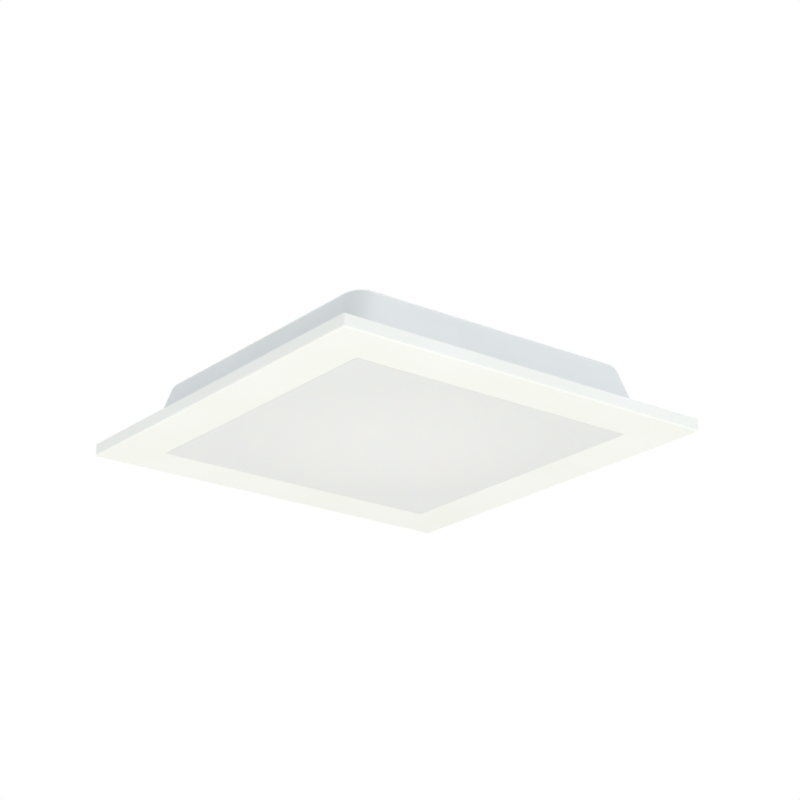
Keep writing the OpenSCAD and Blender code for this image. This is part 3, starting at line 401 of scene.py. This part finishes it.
# The ones that have a function of their own, which says what each looks like
OPAL = opal_acrylic()
FILLED_NYLON = filled_nylon()
SPRING_STEEL = spring_wire()
SOLDER_MASK = printed_board()
LENS_ACRYLIC = clear_acrylic()


# Shaping, in millimetres

CORNER_STEPS = 10
# Corners nearer than this are one
MERGE = 1e-4


def outline(bm, half, radius, z):
    """A level square with rounded corners, as edges round an open middle."""
    place = Matrix.Translation((0, 0, z)) @ Matrix.Scale(half, 4)
    corners = bmesh.ops.create_grid(
        bm, x_segments=1, y_segments=1, size=1, matrix=place)["verts"]
    rounded = bmesh.ops.bevel(
        bm, geom=corners, affect="VERTICES", offset=radius, segments=CORNER_STEPS,
        profile=0.5, material=-1)
    face = rounded["verts"][0].link_faces[0]
    edges = list(face.edges)
    bmesh.ops.delete(bm, geom=[face], context="FACES_ONLY")
    return edges


def carry_on(bm, edges, old, new):
    """Extrudes an outline from its old half width, corner radius and height to its new ones."""
    made = bmesh.ops.extrude_edge_only(bm, edges=edges)["geom"]
    verts = {part for part in made if isinstance(part, bmesh.types.BMVert)}
    for vert in verts:
        for axis in (0, 1):
            side = copysign(1, vert.co[axis])
            reach = vert.co[axis] - side * (old[0] - old[1])
            vert.co[axis] = side * (new[0] - new[1]) + reach * new[1] / old[1]
        vert.co.z = new[2]
    return [part for part in made
            if isinstance(part, bmesh.types.BMEdge) and verts.issuperset(part.verts)]


def stack(bm, levels, ring=False):
    """A skin over outlines, one after the other; a ring closes on itself, and anything else gets
    two flat ends. Gives back the edges of each outline."""
    mark = bm.verts.layers.int.new("level")
    edges = outline(bm, *levels[0])
    first = edges
    following = levels[1:] + levels[:1] if ring else levels[1:]
    for i, (old, new) in enumerate(zip(levels, following), 1):
        edges = carry_on(bm, edges, old, new)
        for vert in {vert for edge in edges for vert in edge.verts}:
            vert[mark] = i % len(levels)
    if ring:
        bmesh.ops.remove_doubles(bm, verts=bm.verts, dist=MERGE)
    else:
        for end in (first, edges):
            bmesh.ops.contextual_create(bm, geom=end)
    bmesh.ops.recalc_face_normals(bm, faces=bm.faces)
    return [[edge for edge in bm.edges if edge.verts[0][mark] == edge.verts[1][mark] == i]
            for i in range(len(levels))]


def ease(bm, edges, radius, steps):
    """Rounds edges. The new faces are marked as weak, so that flat faces beside them stay flat."""
    bmesh.ops.bevel(
        bm, geom=edges, affect="EDGES", offset=radius, segments=steps, profile=0.5, material=-1,
        clamp_overlap=True, face_strength_mode="NEW")


def lathe(bm, profile, steps=32):
    """Turns a profile of (radius, height) points round the Z axis."""
    verts = [bm.verts.new((radius, 0, z)) for radius, z in profile]
    edges = [bm.edges.new(pair) for pair in zip(verts, verts[1:])]
    bmesh.ops.spin(
        bm, geom=verts + edges, cent=(0, 0, 0), axis=(0, 0, 1), angle=2 * pi, steps=steps,
        use_merge=True)
    bmesh.ops.remove_doubles(bm, verts=bm.verts, dist=MERGE)


def as_object(bm, name="cutter"):
    """A loose object in the scene with this mesh."""
    mesh = bpy.data.meshes.new(name)
    bm.to_mesh(mesh)
    made = bpy.data.objects.new(name, mesh)
    bpy.context.collection.objects.link(made)
    return made


def cut(bm, tool):
    """bm with a closed mesh cut out of it; both are closed meshes with outward faces."""
    for part in (bm, tool):
        bmesh.ops.remove_doubles(part, verts=part.verts, dist=MERGE)
        bmesh.ops.recalc_face_normals(part, faces=part.faces)
    body, cutter = as_object(bm), as_object(tool)
    modifier = body.modifiers.new("cut", "BOOLEAN")
    modifier.object = cutter
    modifier.solver = "EXACT"
    whole = body.evaluated_get(bpy.context.evaluated_depsgraph_get())
    result = bmesh.new()
    result.from_mesh(whole.to_mesh())
    whole.to_mesh_clear()
    for used in (body, cutter):
        mesh = used.data
        bpy.data.objects.remove(used)
        bpy.data.meshes.remove(mesh)
    bm.free()
    tool.free()
    return result


def finish(name, bm, material, body, *replaced, smooth=35, sliver=MERGE):
    """Scales a mesh to metres, shades it, and puts it in the scene in place of the CAD nodes it
    stands for. Corners nearer to each other than sliver become one, and edges sharper than
    smooth, in degrees, stay sharp."""
    bmesh.ops.remove_doubles(bm, verts=bm.verts, dist=sliver)
    bmesh.ops.recalc_face_normals(bm, faces=bm.faces)
    # Where two surfaces only touch at a corner, each gets its own corner, or one of them would
    # be shaded by the other's faces
    for vert in [vert for vert in bm.verts if not vert.is_manifold]:
        bmesh.utils.vert_separate(vert, ())
    bmesh.ops.scale(bm, vec=(MM, MM, MM), verts=bm.verts)
    piece = as_object(bm, name)
    bm.free()
    piece.data.materials.append(material)
    piece.data.shade_smooth()
    piece.data.set_sharp_from_angle(angle=radians(smooth))
    steady = piece.modifiers.new("flat faces stay flat", "WEIGHTED_NORMAL")
    steady.keep_sharp = True
    steady.use_face_influence = True
    if body:
        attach(piece, body)
    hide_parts(*replaced)
    return piece


def softened(node, material, body, radius, sliver=MERGE):
    """A copy of a CAD node in its place: merged, shaded smooth where it is round, and with its
    hard edges rounded where a radius is given."""
    coplanar, hard_angle, steps = radians(1), radians(32), 2
    bm = bmesh.new()
    bm.from_mesh(nodes[node].data)
    bm.transform(Matrix.Scale(1 / MM, 4) @ nodes[node].matrix_world)
    bmesh.ops.remove_doubles(bm, verts=bm.verts, dist=MERGE)
    bmesh.ops.dissolve_limit(bm, angle_limit=coplanar, verts=bm.verts, edges=bm.edges)
    hard = [edge for edge in bm.edges
            if len(edge.link_faces) == 2 and edge.calc_face_angle(0) > hard_angle]
    if radius:
        ease(bm, hard, radius, steps)
    return finish(node + "_piece", bm, material, body, node, sliver=sliver)


def patch(piece, material, chosen):
    """Gives a second material to the faces chosen by their middle, in millimetres, and by the
    way they look."""
    piece.data.materials.append(material)
    for face in piece.data.polygons:
        if chosen(face.center / MM, face.normal):
            face.material_index = 1


# Front plate, window, tray and foam ring, as half widths, corner radii and heights

PLATE_HALF, SKIRT_HALF, FLANGE_HALF, WINDOW_HALF = 100, 98, 97.7, 76
FENCE_IN, FENCE_OUT, LIP_HALF = 80.3, 81.5, 80
FENCE_CORNER, LIP_CORNER, WINDOW_CORNER, PLATE_CORNER = 1.8, 0.6, 0.3, 1
Z_CEILING, Z_BACK, Z_LEDGE, Z_FLANGE = 0, -1, -28.7, -31.3
Z_UNDER, Z_BORDER, Z_FENCE, Z_LIP = -34.7, -32.7, -31.5, -31.2


def front_rim():
    """The wide border with its rounded lower edge, hollow behind, and the fence that keeps the
    diffuser central."""
    bm = bmesh.new()
    loops = stack(bm, [
        (PLATE_HALF, PLATE_CORNER, Z_LEDGE),
        (PLATE_HALF, PLATE_CORNER, Z_UNDER),
        (WINDOW_HALF, WINDOW_CORNER, Z_UNDER),
        (WINDOW_HALF, WINDOW_CORNER, Z_BORDER),
        (FENCE_IN, LIP_CORNER, Z_BORDER),
        (FENCE_IN, LIP_CORNER, Z_FENCE),
        (FENCE_OUT, FENCE_CORNER, Z_FENCE),
        (FENCE_OUT, FENCE_CORNER, Z_BORDER),
        (SKIRT_HALF, 0.8, Z_BORDER),
        (SKIRT_HALF, 0.8, Z_LEDGE),
    ], ring=True)
    outer_back, outer_front, window_edge, inner_back = loops[0], loops[1], loops[2], loops[9]
    ease(bm, outer_front, radius=0.8, steps=6)
    ease(bm, outer_back, radius=0.25, steps=3)
    ease(bm, window_edge, radius=0.12, steps=2)
    ease(bm, inner_back, radius=0.2, steps=2)
    finish("rim", bm, RIM_WHITE, "root", "front_frame")


def opal_window():
    """The flush diffuser: a shallow dish with a lip that the rim holds."""
    gap, wall, corner = 0.1, 2, 0.2
    bm = bmesh.new()
    face_half = WINDOW_HALF - gap
    hollow_half = WINDOW_HALF - gap - wall
    loops = stack(bm, [
        (face_half, corner, Z_UNDER),
        (face_half, corner, Z_BORDER),
        (LIP_HALF, LIP_CORNER, Z_BORDER),
        (LIP_HALF, LIP_CORNER, Z_LIP),
        (hollow_half, corner, Z_LIP),
        (hollow_half, corner, Z_BORDER),
    ])
    ease(bm, loops[0], radius=0.12, steps=2)
    finish("window", bm, OPAL, "root", "diffuser")


# The tray's wall leans in by TAPER over its height, and its back edge is an arc
TAPER, TRAY_HEIGHT, WALL = 7.8, 27.7, 2
LEAN = atan(TAPER / TRAY_HEIGHT)
FOOT_HALF, TRAY_CORNER, FILLET = 84.6, 11, 5.7
ARC_Z = Z_BACK - FILLET
ARC_HALF = FOOT_HALF - (ARC_Z - Z_LEDGE) * tan(LEAN) - FILLET / cos(LEAN)
ARC_STEPS = 12

# Two screws on each side of the square
RIM_SCREW_HALF, RIM_SCREW_ALONG, RIM_HEAD = 94, 42, 2.5
RIM_SCREWS = [Matrix.Rotation(quarter * pi / 2, 4, "Z") @ Vector((RIM_SCREW_HALF, along, 0))
              for quarter in range(4) for along in (-RIM_SCREW_ALONG, RIM_SCREW_ALONG)]


def tray_levels(inset, low_z):
    """Outlines of the tray, from a height up to the flat of its back, with the wall set in."""
    foot = FOOT_HALF - (low_z - Z_LEDGE) * tan(LEAN) - inset / cos(LEAN)
    corner = TRAY_CORNER - inset
    radius = FILLET - inset
    levels = [(foot, corner, low_z)]
    for i in range(ARC_STEPS + 1):
        turn = LEAN + (pi / 2 - LEAN) * i / ARC_STEPS
        levels.append((
            ARC_HALF + radius * cos(turn),
            corner - radius * (cos(LEAN) - cos(turn)),
            ARC_Z + radius * sin(turn)))
    return levels


def tray_housing():
    """The tapered tray on its flange, with a countersink for each screw in the flange."""
    bm = bmesh.new()
    inside = tray_levels(WALL, Z_FLANGE)
    outside = tray_levels(0, Z_LEDGE)
    loops = stack(bm, [
        *reversed(inside),
        (FLANGE_HALF, PLATE_CORNER, Z_FLANGE),
        (FLANGE_HALF, PLATE_CORNER, Z_LEDGE),
        *outside,
    ])
    flange_edge, foot = loops[len(inside) + 1], loops[len(inside) + 2]
    ease(bm, flange_edge, radius=0.25, steps=2)
    ease(bm, foot, radius=0.5, steps=4)
    tip, past = 0.25, 0.5
    tool = bmesh.new()
    for place in RIM_SCREWS:
        middle = Matrix.Translation(place + Vector((0, 0, Z_LEDGE - RIM_HEAD / 2 + past / 2)))
        bmesh.ops.create_cone(
            tool, cap_ends=True, segments=32, radius1=tip, radius2=RIM_HEAD + past,
            depth=RIM_HEAD + past, matrix=middle)
    finish("tray_housing_shell", cut(bm, tool), HOUSING_WHITE, "root", "rear_housing")


def gasket():
    """The die-cut foam ring on the back."""
    outer, outer_corner, inner, inner_corner = 70.98, 5, 63.98, 3
    bm = bmesh.new()
    loops = stack(bm, [
        (outer, outer_corner, Z_BACK),
        (outer, outer_corner, Z_CEILING),
        (inner, inner_corner, Z_CEILING),
        (inner, inner_corner, Z_BACK),
    ], ring=True)
    ease(bm, loops[1] + loops[2], radius=0.12, steps=2)
    finish("foam_ring", bm, BLACK_FOAM, "root", "ceiling_gasket")


front_rim()
opal_window()
tray_housing()
gasket()


# Screws, pins and the grommet

SLOT_WIDTH = 0.6


def cross_recess(length, depth, top):
    """A plus-shaped tool that narrows downwards."""
    taper = 0.6
    tool = bmesh.new()
    bmesh.ops.create_cube(tool, size=SLOT_WIDTH)
    arms = [face for face in tool.faces if abs(face.normal.z) < 0.5]
    for face in bmesh.ops.extrude_discrete_faces(tool, faces=arms)["faces"]:
        bmesh.ops.translate(
            tool, vec=face.normal * (length - SLOT_WIDTH) / 2, verts=face.verts)
    bmesh.ops.scale(tool, vec=(1, 1, 2 * depth / SLOT_WIDTH), verts=tool.verts)
    bmesh.ops.translate(tool, vec=(0, 0, top), verts=tool.verts)
    lower = [vert for vert in tool.verts if vert.co.z < top]
    bmesh.ops.scale(tool, vec=(taper, taper, 1), verts=lower)
    return tool


def screw_mesh(shank, reach, head, height):
    """A screw with its seat at zero: a domed pan head above it or, where the head has no height,
    a countersunk one below."""
    point, slot_depth, rim_share, dome_share, dome_steps = 0.7, 0.8, 0.45, 0.55, 6
    bm = bmesh.new()
    tip = [(0, -reach), (0.5 * shank, -reach), (shank, -reach + point)]
    if not height:
        lathe(bm, [*tip, (shank, shank - head), (head, 0), (0, 0)])
        return cut(bm, cross_recess(head * 1.1, slot_depth, 0))
    dome = [(head * cos(a) if a else head, rim_share * height + dome_share * height * sin(a))
            for a in (pi / 2 * i / dome_steps for i in range(dome_steps))]
    lathe(bm, [*tip, (shank, 0), (head, 0), *dome, (0, height)])
    return cut(bm, cross_recess(1.3 * head, 0.6 * height, height))


def screws(name, node, places, seat, **shape):
    """One screw mesh, set at each place and turned a little further each time."""
    turn = radians(37)
    one = screw_mesh(**shape)
    template = bpy.data.meshes.new("screw")
    one.to_mesh(template)
    one.free()
    bm = bmesh.new()
    for i, place in enumerate(places):
        before = len(bm.verts)
        bm.from_mesh(template)
        bm.verts.ensure_lookup_table()
        put = (Matrix.Translation((place[0], place[1], seat))
               @ Matrix.Rotation(turn * i, 4, "Z"))
        bmesh.ops.transform(bm, matrix=put, verts=bm.verts[before:])
    bpy.data.meshes.remove(template)
    finish(name, bm, SCREW_ZINC, "root", node)


LID_POSTS = [(x, y) for x in (-16.5, 16.5) for y in (-31.5, 3.5)]
BOX_FIXINGS = [(-9, -31.5), (9, -31.5), (-16.5, 31.5), (16.5, 31.5)]
CLAMP_FIXINGS = [(-9, 30), (9, 30)]
LID_SEAT, BOX_SEAT, CLAMP_SEAT = 15.6, 0.6, 11.4

screws("rim_screws", "frame_screws", RIM_SCREWS, Z_LEDGE,
       shank=1.25, reach=5.1, head=RIM_HEAD, height=0)
screws("lid_screws_set", "lid_screws", LID_POSTS, LID_SEAT,
       shank=1, reach=8.6, head=2, height=1.2)
screws("box_screws_set", "box_screws", BOX_FIXINGS, BOX_SEAT,
       shank=1.1, reach=4, head=2.2, height=1.3)
screws("clamp_screws_set", "clamp_screws", CLAMP_FIXINGS, CLAMP_SEAT,
       shank=1, reach=8, head=2, height=1.2)


def grommet():
    """The grooved rubber ring in the end wall, with rolled flanges."""
    end_wall_y, cable_z, steps = 35.2, 6.8, 48
    half = [(3.6, -1.7), (3.9, -2.0), (5.4, -2.0), (5.9, -1.7), (5.9, -1.1), (5.7, -0.8),
            (4.8, -0.8)]
    bm = bmesh.new()
    lathe(bm, half + [(radius, -z) for radius, z in reversed(half)] + half[:1], steps)
    place = Matrix.Translation((0, end_wall_y, cable_z)) @ Matrix.Rotation(-pi / 2, 4, "X")
    bmesh.ops.transform(bm, matrix=place, verts=bm.verts)
    finish("grommet", bm, RUBBER, "root", "cable_grommet")


grommet()

PIVOT_X, PIVOT_Z = 32, 5.5


def pivot_pin(side, name):
    """A riveted pin: a shank with a domed head at each end."""
    shank, reach, head = 1.5, 8.2, 2.3
    half = [(shank, 0), (shank, reach), (head - 0.15, reach), (head, 8.35), (head, 8.6),
            (2.0, 8.85), (1.2, 9.0), (0, 9.0)]
    bm = bmesh.new()
    lathe(bm, [(radius, -z) for radius, z in reversed(half)][:-1] + half)
    place = (Matrix.Translation((side * PIVOT_X, 0, PIVOT_Z))
             @ Matrix.Rotation(pi / 2, 4, "X"))
    bmesh.ops.transform(bm, matrix=place, verts=bm.verts)
    finish("pin_" + name, bm, SPRING_STEEL, "carriage_" + name, "pivot_pin_" + name)


# Torsion springs, in the plane of the arm's swing: X away from the pivot, Z above it. One leg
# rests on the carriage and the other on the strap, which falls straight from its start.

COIL_R, COIL_HALF, WIRE_R, TURNS = 2.4, 4.0, 0.4, 4
LEG_TOUCH = WIRE_R + 0.05
FIXED_LEG_X, MOVING_LEG_X, CARRIAGE_TOP = -5.0, 10.5, 0.9
STRAP_START_X, STRAP_START_Z, STRAP_DROP, STRAP_RUN, STRAP_HALF = 4.4, 0.2, 3.1, 11.8, 0.6
STRAP_TOP = (STRAP_START_Z - (MOVING_LEG_X - STRAP_START_X) * STRAP_DROP / STRAP_RUN
             + STRAP_HALF / cos(atan(STRAP_DROP / STRAP_RUN)))
FIXED_LEG = (FIXED_LEG_X, CARRIAGE_TOP - PIVOT_Z + LEG_TOUCH)
MOVING_LEG = (MOVING_LEG_X, STRAP_TOP + LEG_TOUCH)
STEPS_A_TURN = 24


def spring_route():
    """Points of the wire round its pivot: a leg down to the carriage, the coil, and a leg out
    along the strap."""
    start = atan2(FIXED_LEG[1], FIXED_LEG[0]) - acos(COIL_R / hypot(*FIXED_LEG))
    end = atan2(MOVING_LEG[1], MOVING_LEG[0]) + acos(COIL_R / hypot(*MOVING_LEG)) - 2 * pi
    sweep = start - end + 2 * pi * TURNS
    steps = STEPS_A_TURN * (TURNS + 1)
    route = [Vector((FIXED_LEG[0], -COIL_HALF, FIXED_LEG[1]))]
    for i in range(steps + 1):
        turn = start - sweep * i / steps
        across = COIL_HALF * (2 * i / steps - 1)
        route.append(Vector((COIL_R * cos(turn), across, COIL_R * sin(turn))))
    route.append(Vector((MOVING_LEG[0], COIL_HALF, MOVING_LEG[1])))
    return route


def torsion_spring(side, name):
    """Round wire along the route, bent between the carriage that holds one leg and the arm that
    the other presses."""
    curve = bpy.data.curves.new("wire", "CURVE")
    curve.dimensions = "3D"
    curve.bevel_depth = WIRE_R
    curve.bevel_resolution = 4
    curve.use_fill_caps = True
    route = spring_route()
    line = curve.splines.new("POLY")
    line.points.add(len(route) - 1)
    for point, at in zip(line.points, route):
        point.co = (side * (at.x + PIVOT_X), at.y, at.z + PIVOT_Z, 1)
    holder = bpy.data.objects.new("wire", curve)
    bpy.context.collection.objects.link(holder)
    whole = holder.evaluated_get(bpy.context.evaluated_depsgraph_get())
    bm = bmesh.new()
    bm.from_mesh(whole.to_mesh())
    whole.to_mesh_clear()
    bpy.data.objects.remove(holder)
    bpy.data.curves.remove(curve)
    node = "torsion_spring_" + name
    piece = finish("spring_" + name, bm, SPRING_STEEL, None, node, smooth=60)
    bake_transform(piece)


for side, name in ((-1, "left"), (1, "right")):
    pivot_pin(side, name)
    torsion_spring(side, name)
    softened("carriage_" + name, FILLED_NYLON, "carriage_" + name, radius=0.15)
    softened("guide_rails_" + name, BOX_WHITE, "root", radius=0.15)
    softened("clip_arm_" + name, ARM_ZINC, "clip_arm_" + name, radius=0.12)
    softened("arm_pad_" + name, RUBBER, "clip_arm_" + name, radius=0.12)


# Driver box. Slivers up to 0.012 mm wide between its walls and posts are merged away.

softened("driver_box", BOX_WHITE, "root", radius=0.15, sliver=0.015)
softened("driver_lid", BOX_WHITE, "root", radius=0.2)
softened("terminal_cover", BOX_WHITE, "terminal_cover", radius=0.2)
softened("cable_clamp", NYLON, "root", radius=0.2)
softened("terminal_block", NYLON, "root", radius=0.15)


# Parts inside the box and the tray, and small hardware, with the radius of their edges

INNER = {
    "diffuser_seal": (SILICONE, 0.1),
    "frame_seal": (GREY_FOAM, 0.1),
    "reflector": (REFLECTOR_FILM, 0),
    "led_board": (BOARD_WHITE, 0),
    "led_chips": (PHOSPHOR, 0.1),
    "led_lenses": (LENS_ACRYLIC, 0),
    "led_connector": (NYLON, 0.1),
    "board_screws": (SCREW_ZINC, 0.1),
    "heat_spreader": (SHEET, 0.1),
    "driver_board": (SOLDER_MASK, 0),
    "transformer_core": (FERRITE, 0.25),
    "transformer_winding": (TAPE, 0.2),
    "film_capacitor": (FILM_CASE, 0.3),
    "bridge_rectifier": (EPOXY, 0.2),
    "fuse": (RED_SLEEVE, 0.12),
    "heat_sink": (SHEET, 0.1),
    "switching_transistor": (EPOXY, 0.15),
    "lead_positive": (RED_LEAD, 0),
    "lead_negative": (BLACK_LEAD, 0),
    "terminal_screws": (SCREW_ZINC, 0.1),
    "cover_hinge_pin": (SPRING_STEEL, 0.15),
}
for node, (material, radius) in INNER.items():
    softened(node, material, "root", radius)

# The cans lie along Y: sleeves that leave the aluminium bare at both ends
for node, sleeve in (("bulk_capacitor", DARK_SLEEVE), ("output_capacitor", BLUE_SLEEVE)):
    can = softened(node, sleeve, "root", radius=0.12)
    patch(can, SHEET, lambda middle, way: abs(way.y) > 0.9)

# The choke's ferrite drum, with the wire in its waist
WAIST_LOW, WAIST_HIGH = 6.4, 11.0
choke = softened("input_choke", FERRITE, "root", radius=0.2)
patch(choke, COPPER, lambda middle, way: WAIST_LOW < middle.z < WAIST_HIGH)


# Floor, world and lamps

WHITE = "#ffffff"


def shown_as(tree, seen, lit):
    """One shader to the camera, mirrors and glass, and the one that lights to everything else."""
    rays = add(tree, "ShaderNodeLightPath").outputs
    direct = add(tree, "ShaderNodeMath", {
        0: rays["Is Camera Ray"], 1: rays["Is Glossy Ray"]}, operation="MAXIMUM")
    in_view = add(tree, "ShaderNodeMath", {
        0: direct.outputs[0], 1: rays["Is Transmission Ray"]}, operation="MAXIMUM")
    return add(tree, "ShaderNodeMixShader", {0: in_view.outputs[0], 1: lit, 2: seen})


def painted_board():
    """Matt painted board, which the camera sees more than half way to white; the object's shadow
    stays on it."""
    roller_mm, to_white = 60, 0.6
    made, tree, where = blank("matt_painted_board")
    roller = add(tree, "ShaderNodeTexNoise", {
        "Vector": where, "Scale": per_mm(roller_mm), "Detail": 2.0})
    tone = add(tree, "ShaderNodeValToRGB", {"Fac": roller.outputs["Fac"]},
               stops=((NOISE_LOW, "#f4f2ec"), (NOISE_HIGH, "#f5f3ee")))
    paint = add(tree, "ShaderNodeBsdfPrincipled", {
        "Base Color": tone.outputs["Color"], "Roughness": 0.9})
    white = add(tree, "ShaderNodeEmission", {"Color": linear(WHITE), "Strength": 1.0})
    paler = add(tree, "ShaderNodeMixShader", {
        0: to_white, 1: paint.outputs["BSDF"], 2: white.outputs["Emission"]})
    mixed = shown_as(tree, paler.outputs["Shader"], paint.outputs["BSDF"])
    add(tree, "ShaderNodeOutputMaterial", {"Surface": mixed.outputs["Shader"]})
    return made


AMBIENT = 0.64

world = bpy.data.worlds.new("studio")
world.use_nodes = True
bpy.context.scene.world = world
sky = world.node_tree
sky.nodes.clear()
shown = add(sky, "ShaderNodeBackground", {"Color": linear(WHITE), "Strength": 1.0})
ambient = add(sky, "ShaderNodeBackground", {"Color": linear("#f5fafc"), "Strength": AMBIENT})
mixed = shown_as(sky, shown.outputs[0], ambient.outputs[0])
add(sky, "ShaderNodeOutputWorld", {"Surface": mixed.outputs[0]})

FLOOR_Z, FLOOR_REACH = -1.2, 30

bm = bmesh.new()
bmesh.ops.create_grid(
    bm, x_segments=1, y_segments=1, size=FLOOR_REACH,
    matrix=Matrix.Translation((0, 0, FLOOR_Z)))
floor = as_object(bm, "floor")
bm.free()
floor.data.materials.append(painted_board())

LIT_POINT = Vector((0, 0, -0.02))


def lamp(name, at, size, watts, colour):
    """A square soft box that faces the object and stays out of the picture."""
    data = bpy.data.lights.new(name, "AREA")
    data.size = size
    data.energy = watts
    data.color = linear(colour)[:3]
    made = bpy.data.objects.new(name, data)
    made.location = at
    made.rotation_euler = (LIT_POINT - Vector(at)).to_track_quat("-Z", "Y").to_euler()
    made.visible_camera = False
    bpy.context.collection.objects.link(made)


lamp("front_lamp", at=(0.3, -1.4, -0.35), size=1.0, watts=7.2, colour="#f0f6ff")
lamp("side_lamp", at=(-1.3, 0.2, -0.55), size=1.0, watts=4.8, colour="#edf5ff")
lamp("under_lamp", at=(-0.1, -0.1, -0.8), size=1.4, watts=2.75, colour="#fff7e9")
lamp("top_lamp", at=(0.6, -0.4, 1.5), size=1.2, watts=4.0, colour=WHITE)
lamp("back_lamp", at=(0.5, 0.8, 1.3), size=1.2, watts=6.0, colour=WHITE)

bpy.context.scene.view_settings.view_transform = "Standard"
